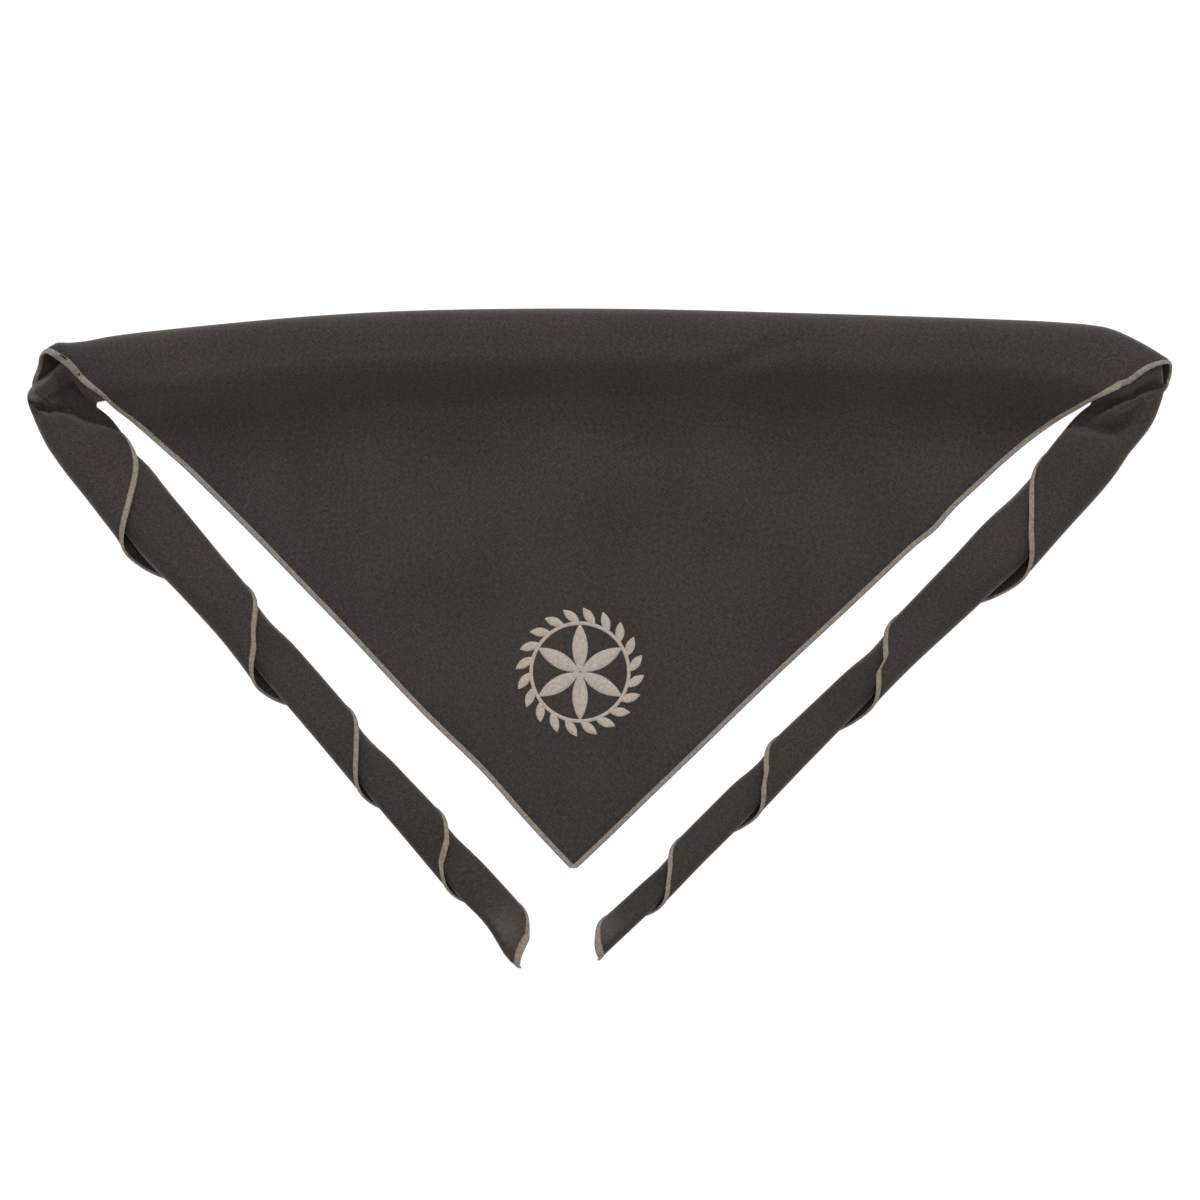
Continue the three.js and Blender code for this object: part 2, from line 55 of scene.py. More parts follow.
def monotone_curve(xs: Iterable[float], ys: Iterable[float], at: np.ndarray) -> np.ndarray:
    """Reads a table with a smooth curve that never overshoots its rows.

    Args:
        xs: The rows' keys, rising.
        ys: The rows' values.
        at: Where the curve is read.

    Returns:
        The curve's values, held at the first and last row's outside them.
    """
    xs, ys = np.asarray(xs, float), np.asarray(ys, float)
    steps, at = np.diff(xs), np.clip(at, xs[0], xs[-1])
    slopes = np.diff(ys) / steps
    before, after = slopes[:-1], slopes[1:]
    same_way = before * after > 0
    total = np.where(same_way, before + after, 1.0)
    inner = np.where(same_way, 2 * before * after / total, 0.0)
    tangents = np.concatenate([slopes[:1], inner, slopes[-1:]])
    row = np.clip(np.searchsorted(xs, at, "right") - 1, 0, len(steps) - 1)
    share = (at - xs[row]) / steps[row]
    rise = tangents[row] * steps[row], tangents[row + 1] * steps[row]
    return (ys[row] * (1 + 2 * share) * (1 - share) ** 2 + rise[0] * share * (1 - share) ** 2
            + ys[row + 1] * share**2 * (3 - 2 * share) + rise[1] * share**2 * (share - 1))


def smoothstep(at: np.ndarray, low: float, high: float) -> np.ndarray:
    """Rises softly from 0 at low to 1 at high."""
    share = np.clip((at - low) / (high - low), 0, 1)
    return share * share * (3 - 2 * share)


def unit(vectors: np.ndarray) -> np.ndarray:
    """Scales each row of an array to length 1."""
    return vectors / np.maximum(np.linalg.norm(vectors, axis=-1, keepdims=True), 1e-12)


class Side(Enum):
    """The two halves of the roll, as they are seen from above."""

    LEFT = -1
    RIGHT = 1

    @property
    def column(self) -> int:
        """The side's column in a table of rows (key, left, right)."""
        return 1 if self is Side.LEFT else 2


@dataclass(frozen=True)
class RollSizes:
    """How the cloth is cut and rolled, in millimetres and degrees.

    A table's rows hold a key, then the left and the right side's value. A turn counts half turns
    of the scroll from the crest of the roll. The rows up to the sections are the solid model's,
    and those after them say how the real cloth settles at its loose edges, bends and tails.
    """

    short_side: float = 850.0
    panel_depth: float = 252.0
    corner_tuck: float = 8.7
    tuck_depth: float = 190.0
    panel_lean: float = 2.7
    fall_angle: float = 50.0
    landing_radius: float = 25.0
    roll_shift: float = 9.8
    roll_middle: tuple[float, float] = (-0.8, 136.0)
    radius: float = 11.8
    flat: float = 8.0
    pitch: float = 1.6
    flat_share: float = 0.1
    floor: float = 0.8
    table: float = 0.5
    hem_width: float = 7.0
    top_runs: tuple[float, float] = (234.0, 229.6)
    elbow_radii: tuple[float, float] = (16.8, 18.4)
    elbow_turns: tuple[float, float] = (125.9, 127.0)
    top_bends: tuple = ((0.3, 1.2, 1.8), (0.55, 5.3, 0.5), (0.15, 2, 6))
    tail_bends: tuple = ((0.3, -3, 0.2), (0.35, 0.2, 0.2), (0.35, 0.2, -0.4))
    crossings: tuple = (
        (0, 0, 0), (0.25, 0.004, 0.004), (0.5, 0.012, 0.014), (0.75, 0.032, 0.037),
        (1, 0.065, 0.08), (1.5, 0.138, 0.173), (2, 0.2, 0.236), (2.5, 0.25, 0.3),
        (2.75, 0.31, 0.355), (3.5, 0.397, 0.448), (4, 0.445, 0.495), (4.5, 0.5, 0.548),
        (4.75, 0.54, 0.595), (5.5, 0.604, 0.66), (6.5, 0.698, 0.742), (6.75, 0.727, 0.777),
        (7.5, 0.782, 0.835), (8.5, 0.868, 0.905), (8.75, 0.894, 0.927), (9.5, 0.95, 0.968),
        (10, 0.988, 0.99))
    sections: tuple = (
        (0, 0.85, 0.7), (0.08, 0.95, 0.9), (0.24, 1.3, 1.1), (0.34, 0.9, 0.7), (0.54, 0.65, 0.25),
        (0.73, 0.9, 0.5), (0.93, 1.3, 0.45), (1, 1.05, 0.45))
    loose_edges: tuple = (
        (0.35, 0.45, 0.22), (0.55, 0.28, 0.22), (0.8, 0, 0.12), (2.5, 0.3, 0.28),
        (4.5, 0.26, 0.12), (6.5, 0.03, 0.05), (8.5, 0, 0.02))
    loose_reach: float = 1.1
    elbow_creases: tuple = ((0.62, 0.07, 0.13), (0.95, 0.09, 0.16))
    crease_fade: float = 0.6
    elbow_spreads: tuple = ((Side.RIGHT, 0.35, 0.45, 2.0, 3.4),)
    core_setback: tuple = ((Side.LEFT, 0.2, 0.2, 6.6),)
    waist: float = 3.6
    waist_turns: float = 0.38
    waist_behind: tuple[float, float] = (1.0, 1.6)
    tail_squaring: float = 0.66


@dataclass
class Route:
    """One half of the roll's centreline: arcs laid end to end from its middle outwards."""

    side: Side
    sizes: RollSizes
    panel_half: float
    tail: float
    top_run: float = field(init=False)
    elbow_run: float = field(init=False)
    length: float = field(init=False)

    def __post_init__(self) -> None:
        """Lays the arcs end to end."""
        sizes, column = self.sizes, self.side.column
        self.top_run = sizes.top_runs[column - 1]
        turn = sizes.elbow_turns[column - 1]
        self.elbow_run = sizes.elbow_radii[column - 1] * math.radians(turn)
        self.length = self.panel_half + self.tail
        tail_run = self.length - self.top_run - self.elbow_run
        bends = [(row[0] * self.top_run, row[column]) for row in sizes.top_bends]
        bends += [(self.elbow_run, turn)]
        bends += [(row[0] * tail_run, row[column]) for row in sizes.tail_bends]
        self.starts = np.concatenate([[0.0], np.cumsum([run for run, _ in bends])[:-1]])
        self.bends = np.array([-self.side.value * math.radians(turn) / run for run, turn in bends])
        first = 0.0 if self.side is Side.RIGHT else math.pi
        turned = np.cumsum([bend * run for bend, (run, _) in zip(self.bends, bends)])
        self.headings = first + np.concatenate([[0.0], turned[:-1]])
        self.ats = np.zeros((len(bends), 2))
        self.ats[0] = sizes.roll_middle
        for number, (run, _) in enumerate(bends[:-1]):
            self.ats[number + 1] = self._along(np.array([number]), np.array([run]))[0][0]

    def _along(self, arcs: np.ndarray, runs: np.ndarray) -> tuple[np.ndarray, np.ndarray]:
        """Follows arcs from their starts.

        Args:
            arcs: The arcs' numbers.
            runs: How far along each of them.

        Returns:
            The places there, and the headings.
        """
        heading, bend = self.headings[arcs], self.bends[arcs]
        turned = heading + bend * runs
        step = np.stack([np.sin(turned) - np.sin(heading), np.cos(heading) - np.cos(turned)], 1)
        return self.ats[arcs] + step / bend[:, None], turned

    def centreline(self, runs: np.ndarray) -> tuple[np.ndarray, np.ndarray]:
        """The centreline at some runs from the middle.

        Args:
            runs: Distances along the roll, all positive.

        Returns:
            The places, and the directions that point to the roll's outer side.
        """
        arcs = np.clip(np.searchsorted(self.starts, runs, "right") - 1, 0, len(self.starts) - 1)
        ats, turned = self._along(arcs, runs - self.starts[arcs])
        return ats, np.stack([-np.sin(turned), np.cos(turned)], 1) * self.side.value


class RolledCloth:
    """Where each place of the flat cloth lies once it is rolled.

    A place is named by s, the distance along the roll from its middle, and by its level: minus the
    depth down the panel, or the turn into the scroll.
    """

    def __init__(self, sizes: RollSizes) -> None:
        """Measures the roll.

        Args:
            sizes: How the cloth is cut and rolled.
        """
        self.sizes = sizes
        self.long_half = sizes.short_side * ROOT_HALF
        self.panel_half = sizes.panel_depth - sizes.corner_tuck
        spare = self.long_half - self.panel_half
        self.routes = {side: Route(side, sizes, self.panel_half,
                                   spare + side.value * sizes.roll_shift) for side in Side}
        self.centre_height = sizes.floor + sizes.radius
        self._measure_turns()
        self._measure_fall()
        runs = {side: np.arange(0, route.length, 0.4) for side, route in self.routes.items()}
        self.route_points = np.concatenate([
            route.centreline(runs[side])[0] for side, route in self.routes.items()])
        self.route_spreads = np.concatenate([
            self.spread(route, runs[side])[:, 0] for side, route in self.routes.items()])

    def _measure_turns(self) -> None:
        """Counts the scroll's half turns, and the cloth in each."""
        left, numbers = self.long_half - self.sizes.panel_depth, []
        while left > 0:
            numbers.append(min(left, self.half_turn(len(numbers))))
            left -= self.half_turn(len(numbers) - 1)
        last = len(numbers) - 1
        self.last_turn = last + numbers[-1] / self.half_turn(last)
        self.hem_turn = self.last_turn - self.sizes.hem_width / self.half_turn(last)
        self.turn_depths = np.concatenate([[0.0], np.cumsum(numbers)])
        rows = [*self.sizes.crossings, (self.last_turn, 1, 1)]
        self.dense_turns = np.linspace(0, self.last_turn, 3000)
        self.dense_shares = {side: monotone_curve(
            [row[0] for row in rows], [row[side.column] for row in rows], self.dense_turns)
            for side in Side}

    def _measure_fall(self) -> None:
        """Integrates the panel's fall off the roll, as seen from the side."""
        sizes, angle = self.sizes, math.radians(self.sizes.fall_angle)
        self.crest = self.centre_height + sizes.radius
        slope_top = self.centre_height + sizes.radius * math.cos(angle)
        slope_foot = sizes.table + sizes.landing_radius * (1 - math.cos(angle))
        slope = (slope_top - slope_foot) / math.sin(angle)
        runs = np.cumsum([0, sizes.flat / 2, sizes.radius * angle, slope,
                          sizes.landing_radius * angle])
        self.fall_run = runs[-1]
        self.fall_at = np.linspace(0, self.fall_run, 2000)
        lean = np.interp(self.fall_at, runs, [0, 0, angle, angle, 0])
        step = self.fall_at[1]
        middles = (lean[1:] + lean[:-1]) / 2
        self.fall_out = np.concatenate([[0], np.cumsum(np.cos(middles) * step)])
        self.fall_height = self.crest - np.concatenate([[0], np.cumsum(np.sin(middles) * step)])
        self.fall_height[-1] = sizes.table

    def half_turn(self, number: int) -> float:
        """The cloth in the scroll's half turn with this number."""
        return math.pi * (self.sizes.radius - number * self.sizes.pitch / 2) + self.sizes.flat

    def per_side(self, s: np.ndarray, read: Any) -> np.ndarray:
        """Reads something of each side's own for places on both sides.

        Args:
            s: Distances along the roll, negative on the left.
            read: Gives the values for a route and its distances.

        Returns:
            The values, in the order of s.
        """
        left = s < 0
        first = read(self.routes[Side.LEFT], -s[left])
        second = read(self.routes[Side.RIGHT], s[~left])
        both = np.empty((len(s), *first.shape[1:]))
        both[left], both[~left] = first, second
        return both

    def reach(self, side: Side, level: float) -> float:
        """How far the cloth reaches along the roll.

        Args:
            side: The side.
            level: Minus the depth down the panel, or the turn into the scroll.

        Returns:
            The distance from the roll's middle to the cloth's edge.
        """
        if level < 0:
            tuck = self.sizes.corner_tuck * max(0.0, 1 + level / self.sizes.tuck_depth) ** 2
            return self.sizes.panel_depth + level - tuck
        share = float(np.interp(level, self.dense_turns, self.dense_shares[side]))
        return self.panel_half + self.routes[side].tail * share

    def tail_share(self, route: Route, runs: np.ndarray) -> np.ndarray:
        """The share of the tail at runs along a side, 0 before the tail begins."""
        return np.clip((runs - self.panel_half) / route.tail, 0, 1)

    def edge_turn(self, route: Route, runs: np.ndarray) -> np.ndarray:
        """How far the bound edge has wound into the scroll at runs along a side."""
        shares = self.dense_shares[route.side]
        return np.interp(self.tail_share(route, runs), shares, self.dense_turns)

    def flat_width(self, route: Route, runs: np.ndarray) -> np.ndarray:
        """The flattened width of the scroll.

        Args:
            route: The side's route.
            runs: Distances along it.

        Returns:
            The width between the two rounded ends of the section.
        """
        table = self.sizes.sections
        keys, values = [row[0] for row in table], [row[route.side.column] for row in table]
        share = monotone_curve(keys, values, self.tail_share(route, runs))
        leaving = smoothstep(runs, route.top_run - self.sizes.radius, self.panel_half)
        return self.sizes.flat * (1 + (share - 1) * leaving)

    def squaring(self, route: Route, runs: np.ndarray) -> np.ndarray:
        """The power that flattens the section's top and bottom: 1 in the roll, less in a tail."""
        leaving = smoothstep(runs, route.top_run - self.sizes.radius, self.panel_half)
        return 1 - (1 - self.sizes.tail_squaring) * leaving

    def middle_height(self, route: Route, runs: np.ndarray) -> np.ndarray:
        """The height of the scroll's centre, which sinks as layers end."""
        under = np.maximum(0, (self.edge_turn(route, runs) - 1 - self.sizes.flat_share) / 2)
        return self.centre_height - self.sizes.pitch * under

    def elbow_press(self, route: Route, runs: np.ndarray) -> np.ndarray:
        """How deep the creases press into the elbow.

        Args:
            route: The side's route.
            runs: Distances along it.

        Returns:
            The depths in millimetres.
        """
        place = (runs - route.top_run) / route.elbow_run
        return sum(depth * self.sizes.radius * np.exp(-(((place - at) / width) ** 2))
                   for at, depth, width in self.sizes.elbow_creases)

    def spread(self, route: Route, runs: np.ndarray) -> np.ndarray:
        """How far the crowded cloth spreads at an elbow, on the bend's inner and outer side.

        Args:
            route: The side's route.
            runs: Distances along it.

        Returns:
            Two columns, in millimetres.
        """
        place = (runs - route.top_run) / route.elbow_run
        total = np.zeros((len(runs), 2))
        for side, at, width, inner, outer in self.sizes.elbow_spreads:
            if side is route.side:
                total += np.exp(-(((place - at) / width) ** 2))[:, None] * (inner, outer)
        return total

    def setback(self, route: Route, runs: np.ndarray) -> np.ndarray:
        """How far the inner turns stand back from the outermost one at an elbow.

        Args:
            route: The side's route.
            runs: Distances along it.

        Returns:
            The distances in millimetres.
        """
        place = (runs - route.top_run) / route.elbow_run
        return sum((depth * np.exp(-(((place - at) / width) ** 2))
                    for side, at, width, depth in self.sizes.core_setback if side is route.side),
                   np.zeros(len(runs)))

    def waisted(self, route: Route, runs: np.ndarray, turn: float) -> np.ndarray:
        """How much slimmer the inner turns are where the bound edge crosses the top.

        Args:
            route: The side's route.
            runs: Distances along it.
            turn: The turn into the scroll.

        Returns:
            The loss of radius in millimetres.
        """
        edge = self.edge_turn(route, runs)
        crossing = np.maximum(2, 2 * np.round(edge / 2))
        near = np.exp(-(((edge - crossing) / self.sizes.waist_turns) ** 2))
        return self.sizes.waist * near * smoothstep(turn - edge, *self.sizes.waist_behind)

    def loose_lift(self, route: Route, runs: np.ndarray, turn: float) -> np.ndarray:
        """How far the loose edge stands off the outer side of the roll.

        Args:
            route: The side's route.
            runs: Distances along it.
            turn: The turn into the scroll.

        Returns:
            The distances in millimetres.
        """
        before = np.maximum(0, self.panel_half - runs) / self.half_turn(0)
        behind = np.maximum(0, turn - self.edge_turn(route, runs)) + before
        settled = np.clip(1 - behind / self.sizes.loose_reach, 0, 1) ** 2
        table = self.sizes.loose_edges
        keys, values = [row[0] for row in table], [row[route.side.column] for row in table]
        most = np.interp(turn, keys, values)
        return self.sizes.radius * most * settled

    def place(self, s: np.ndarray, level: float) -> np.ndarray:
        """Points on the middle of the cloth.

        Args:
            s: Distances along the roll.
            level: Minus the depth down the panel, or the turn into the scroll.

        Returns:
            One point for each distance, in millimetres.
        """
        return self._place_on_panel(s, -level) if level < 0 else self._place_in_scroll(s, level)

    def _place_in_scroll(self, s: np.ndarray, turn: float) -> np.ndarray:
        """Places the cloth in the scroll.

        Args:
            s: Distances along the roll.
            turn: The turn into the scroll.

        Returns:
            One point for each distance.
        """
        sizes = self.sizes
        number = min(int(turn), math.ceil(self.last_turn) - 1)
        part = turn - number
        around = min(max((part - sizes.flat_share) / (1 - 2 * sizes.flat_share), 0), 1) * math.pi
        from_flat_end = min(part, 1 - part, sizes.flat_share) / sizes.flat_share
        outer = number % 2 == 0
        way = 1 if outer else -1
        sideways, rise = way * math.sin(around), way * math.cos(around)
        upwards = math.copysign(1, rise) * abs(rise) ** self.per_side(s, self.squaring)
        facing = max(0, rise) * (1 - sizes.crease_fade * max(0, sideways))
        reach = sizes.radius - number * sizes.pitch / 2
        reach = reach - facing * self.per_side(s, self.elbow_press)
        reach = reach - self.per_side(s, lambda *at: self.waisted(*at, turn)) * (1 + upwards) / 2
        lift = 0.0
        if outer:
            lift = math.sin(around) * self.per_side(s, lambda *at: self.loose_lift(*at, turn))
        straight = way * self.per_side(s, self.flat_width) / 2 * from_flat_end
        offset = straight + reach * sideways + lift
        spread, half = self.per_side(s, self.spread), sizes.radius + sizes.flat / 2
        outer_shift = spread[:, 1] - self.per_side(s, self.setback) * smoothstep(turn, 1, 2)
        offset = (offset + outer_shift * smoothstep(offset, 0, half)
                  - spread[:, 0] * smoothstep(-offset, 0, half))
        height = self.per_side(s, self.middle_height) - (0 if outer else sizes.pitch / 2)
        at = self.per_side(s, lambda route, runs: np.hstack(route.centreline(runs)))
        seen = at[:, :2] + offset[:, None] * at[:, 2:]
        return np.column_stack([seen, height + reach * upwards])

    def _place_on_panel(self, s: np.ndarray, depth: float) -> np.ndarray:
        """Places the cloth on the panel.

        Args:
            s: Distances along the roll.
            depth: How far below the crest of the roll.

        Returns:
            One point for each distance.
        """
        sizes, lean = self.sizes, math.radians(self.sizes.panel_lean)
        at = self.per_side(s, lambda route, runs: route.centreline(runs)[0])
        out = np.interp(depth, self.fall_at, self.fall_out) + max(0.0, depth - self.fall_run)
        droop = (sizes.roll_middle[1] - at[:, 1]) * depth / sizes.panel_depth
        seen = np.column_stack([at[:, 0] - out * math.sin(lean),
                                at[:, 1] - out * math.cos(lean) + droop])
        height = np.full(len(s), sizes.table)
        lifted_to = self.fall_run + 2 * sizes.radius
        if depth < lifted_to:
            apart = np.linalg.norm(seen[:, None] - self.route_points[None], axis=2)
            apart = (apart - self.route_spreads[None]).min(axis=1)
            over = np.interp(apart, self.fall_out, self.fall_height) - sizes.table
            height += over * (1 - smoothstep(depth, self.fall_run, lifted_to))
        return np.column_stack([seen, height])

    def inside_edge(self, side: Side, level: float, distance: float) -> float:
        """Where a place inside the edge lies, measured on the bent cloth.

        Args:
            side: The side.
            level: Minus the depth down the panel, or the turn into the scroll.
            distance: How far inside the edge, square to it.

        Returns:
            Its distance along the roll.
        """
        edge, run = side.value * self.reach(side, level), side.value * distance * math.sqrt(2)
        ends = self.place(np.array([edge, edge - run]), level)
        return edge - run * abs(run) / np.linalg.norm(ends[0] - ends[1])

    def depth_of(self, level: float) -> float:
        """Measures the cloth from the crest of the roll to a level.

        Args:
            level: Minus the depth down the panel, or the turn into the scroll.

        Returns:
            The length of cloth, negative down the panel.
        """
        if level < 0:
            return level
        turns = np.append(np.arange(len(self.turn_depths) - 1), self.last_turn)
        return float(np.interp(level, turns, self.turn_depths))


class Part(Enum):
    """Which part of the rolled cloth moves with a fold or a pull."""

    ALL = "the panel and the roll together"
    PANEL = "the panel alone"
    ROLL = "the roll alone, under the panel"

    def share(self, panel: np.ndarray) -> np.ndarray:
        """How far each place moves, where panel is 1 down the panel and 0 in the roll."""
        return {Part.ALL: np.ones_like(panel), Part.PANEL: panel, Part.ROLL: 1 - panel}[self]


class FoldKind(Enum):
    """What a fold does to the heights of all that lies there."""

    PRESSED = "a share of the height is pressed in"
    RAISED = "the cloth stands up by millimetres"


@dataclass(frozen=True)
class Fold:
    """A crease or a soft wave in the lying cloth, along a line seen from above.

    Its points hold X, Y and the fold's strength there. It fades over one distance on the left of
    the line's direction and over another on the right.
    """

    kind: FoldKind
    line: tuple[tuple[float, float, float], ...]
    left: float
    right: float
    sharp: bool = False
    part: Part = Part.ROLL

    def strength(self, seen: np.ndarray) -> np.ndarray:
        """The fold's strength at places seen from above.

        Args:
            seen: X and Y of each place, in millimetres.

        Returns:
            The strength at each place.
        """
        line = np.asarray(self.line, float)
        nearest = np.full(len(seen), np.inf)
        found = np.zeros(len(seen))
        for start, end in zip(line[:-1], line[1:]):
            along = end[:2] - start[:2]
            gap = seen - start[:2]
            share = np.clip(gap @ along / (along @ along), 0, 1)
            apart = np.linalg.norm(gap - share[:, None] * along, axis=1)
            on_left = along[0] * gap[:, 1] - along[1] * gap[:, 0] > 0
            away = apart / np.where(on_left, self.left, self.right)
            fade = np.exp(-away) if self.sharp else np.exp(-(away**2))
            closer = apart < nearest
            found[closer] = ((start[2] + (end[2] - start[2]) * share) * fade)[closer]
            nearest = np.minimum(nearest, apart)
        return found


@dataclass(frozen=True)
class Pull:
    """A place where the settling cloth was drawn sideways, fading out all round it."""

    x: float
    y: float
    shift: tuple[float, float]
    radius: float
    part: Part = Part.ALL

    def moved(self, seen: np.ndarray) -> np.ndarray:
        """How far places seen from above are drawn, in millimetres."""
        apart = np.hypot(seen[:, 0] - self.x, seen[:, 1] - self.y)
        return np.exp(-((apart / self.radius) ** 2))[:, None] * np.array(self.shift)


@dataclass(frozen=True)
class Drape:
    """How the cloth settles: folds and slow waves that move everything lying there together."""

    folds: tuple[Fold, ...] = (
        # The left bend: the strip that catches the light, the hollow behind the panel's edge, the
        # curved pocket with its ridge, the long crease and the inner side that sinks
        Fold(FoldKind.PRESSED, ((-258, 113, -0.12), (-253.5, 115, -0.16), (-249.5, 117, -0.1)),
             3, 3),
        Fold(FoldKind.PRESSED, ((-258.5, 117.5, 0.3), (-255.5, 120, 0.6), (-252, 123, 0.6)),
             2.5, 2.5),
        Fold(FoldKind.PRESSED, ((-254, 110.5, 0.3), (-250.5, 112.3, 0.45), (-246.5, 114.8, 0.4)),
             0.7, 4.5, True),
        Fold(FoldKind.PRESSED, ((-248.9, 114.6, 0.5), (-244.6, 110.8, 0.8), (-239.9, 105.9, 0.86),
                                (-235.4, 100.5, 0.5)), 6, 4.6),
        Fold(FoldKind.PRESSED, ((-262, 113, 0.3), (-261.2, 109, 0.6), (-258.6, 105.4, 0.7),
                                (-254.6, 103.6, 0.6), (-249.1, 104.3, 0.4), (-245.4, 105, 0.05)),
             2.8, 1.8),
        Fold(FoldKind.PRESSED, ((-259.7, 120.3, -0.12), (-258.8, 116.6, -0.16),
                                (-256.9, 112.9, -0.14), (-254.6, 109.7, -0.1),
                                (-251.9, 108.3, -0.04)), 1.4, 1.4),
        Fold(FoldKind.PRESSED, ((-257.5, 106.2, 0.1), (-246.3, 102.6, 0.36), (-231.4, 96.8, 0.36),
                                (-219.6, 92.2, 0)), 5, 0.8, True),
        Fold(FoldKind.PRESSED, ((-238, 112, 0.2), (-227.5, 101, 0.5), (-220.6, 91.8, 0.55),
                                (-211.4, 79.8, 0.5), (-200, 64, 0)), 3, 11),
        # The right bend: the hollow under the panel's edge, the valley curved round a soft rise,
        # and the inner side that sinks
        Fold(FoldKind.PRESSED, ((226, 100, 0.4), (232, 103.7, 0.75), (239.6, 108.8, 0.86),
                                (248.9, 113.8, 0.84), (257.5, 116.2, 0.45)), 7, 2.6),
        Fold(FoldKind.PRESSED, ((216, 99, 0.3), (228.4, 96.6, 0.4), (234.8, 94.9, 0.48),
                                (240.3, 93.5, 0.45), (246.4, 97.3, 0.33), (249.6, 103.7, 0.18)),
             5, 4),
        Fold(FoldKind.PRESSED, ((221, 103.7, 0.5), (212.7, 95.4, 0.6), (204.5, 86.2, 0.58),
                                (196.2, 77, 0.45), (184.2, 64.2, 0)), 11, 4),
        # The panel's slow waves, and the slanting crease across its fall
        Fold(FoldKind.RAISED, ((-200, 118, 0.2), (-120, 100, 0.8), (-30, 96, 0.4)), 9, 14,
             part=Part.PANEL),
        Fold(FoldKind.RAISED, ((30, 108, 0.6), (75, 112, 2.4), (120, 108, 1.2), (160, 95, 0.2)),
             9, 16, part=Part.PANEL),
        Fold(FoldKind.RAISED, ((-110, 102, 0.6), (-50, 104, 2.6), (10, 105, 2.8), (50, 106, 0.8)),
             9, 16, part=Part.PANEL),
        Fold(FoldKind.RAISED, ((30, 85, 0.2), (70, 60, 0.7), (120, 10, 0.4), (130, -10, 0.1)),
             16, 20, part=Part.PANEL),
        Fold(FoldKind.RAISED, ((-140, 40, 0.1), (-90, 10, 0.5), (-40, -50, 0.2)), 24, 24,
             part=Part.PANEL),
        Fold(FoldKind.PRESSED, ((91, 139, 0.03), (78, 133, 0.09), (52, 122, 0.11),
                                (24, 110, 0.03)), 5, 5, part=Part.ALL))
    # Where the cloth was drawn sideways as it was laid: at the left bend, the right bend, the top
    # of the roll, the edges of the panel and tails, and the tips
    pulls: tuple[Pull, ...] = (
        Pull(-253.7, 132.3, (1.4, 3.0), 7), Pull(-261, 125.7, (3.4, 0.4), 6),
        Pull(-262.5, 112, (-2.2, 0.0), 6), Pull(-241, 72, (1.0, 0.6), 28),
        Pull(-244, 124, (2.5, 3.9), 10.5), Pull(-230.5, 112, (1.2, 2.4), 8, Part.PANEL),
        Pull(-206, 80, (2.8, 2.0), 13, Part.ROLL), Pull(-197, 89, (-0.3, -0.4), 8, Part.PANEL),
        Pull(-252, 88, (1.2, 0.6), 14), Pull(-221, 44, (0.9, 0.4), 10),
        Pull(-239, 136.4, (0.0, -1.5), 11), Pull(-259.7, 95.5, (2.6, 1.0), 14),
        Pull(-226.2, 102.3, (3.0, 2.6), 14, Part.ROLL),
        Pull(-209.5, 96, (-0.9, -0.9), 12, Part.PANEL),
        Pull(250, 92, (-3.4, 1.4), 15), Pull(243, 86, (-1.4, 0.8), 22),
        Pull(241.7, 135.5, (0.4, -3.2), 14), Pull(256, 131, (3.0, -1.0), 7),
        Pull(258, 106, (-1.6, 0.4), 9), Pull(241, 122.5, (0.0, -3.6), 9),
        Pull(224, 103.5, (-3.4, 0.6), 12, Part.ROLL), Pull(212, 92, (-1.8, 0.6), 12, Part.ROLL),
        Pull(220, 107, (1.4, -3.2), 20, Part.PANEL), Pull(231, 116, (0.0, -1.2), 7, Part.PANEL),
        Pull(206, 96, (0.5, -1.2), 14, Part.PANEL), Pull(191, 89, (0.3, -0.7), 14, Part.PANEL),
        Pull(174, 75, (0.2, -0.4), 14, Part.PANEL),
        Pull(-183.8, 144.7, (0.0, -0.7), 60), Pull(62, 147, (0.0, -0.5), 70),
        Pull(-55, -60, (1.4, 0.6), 25), Pull(-156, 45.8, (0.5, 0.3), 35),
        Pull(83, -23, (-0.7, 0.3), 45),
        Pull(153.4, 51.3, (1.2, -0.6), 9), Pull(-128.6, -9.4, (0.7, 0.5), 30),
        Pull(18.6, -110.6, (1.0, -0.6), 20),
        Pull(-34.3, -137.3, (-2.8, -0.6), 8), Pull(-41.8, -146.9, (-0.4, -2.4), 9),
        Pull(-56, -130, (1.2, 0.8), 11), Pull(-1.2, -143.8, (-1.4, -1.0), 6))
    ripples: tuple[tuple[float, float, float, float], ...] = (
        (20, 74, 0.25, 0.4), (-52, 58, 0.15, 2.1), (75, 96, 0.3, 4.0))
    panel_begins: float = 5.0
    press_limits: tuple[float, float] = (-0.3, 0.86)
    roll_held: float = 0.8
    held_heights: tuple[float, float] = (3.0, 18.0)

    def settle(self, points: np.ndarray, levels: np.ndarray | float) -> np.ndarray:
        """Moves points as the lying cloth settles, which leaves layers in their order.

        Args:
            points: Places of the rolled cloth, in millimetres.
            levels: Each place's level, negative down the panel.

        Returns:
            The settled places.
        """
        panel = smoothstep(-np.broadcast_to(levels, len(points)), 0, self.panel_begins)
        seen = points[:, :2]
        press, lift = np.zeros(len(points)), np.zeros(len(points))
        for fold in self.folds:
            moves = press if fold.kind is FoldKind.PRESSED else lift
            moves += fold.strength(seen) * fold.part.share(panel)
        for angle, length, height, phase in self.ripples:
            way = np.array([math.cos(math.radians(angle)), math.sin(math.radians(angle))])
            lift += height * (1 + np.sin(2 * math.pi * (seen @ way) / length + phase)) / 2
        settled = points.copy()
        settled[:, :2] += sum(pull.moved(seen) * pull.part.share(panel)[:, None]
                              for pull in self.pulls)
        pressed = points[:, 2] * (1 - np.clip(press, *self.press_limits))
        settled[:, 2] = pressed + lift * self.lying(points)
        return settled

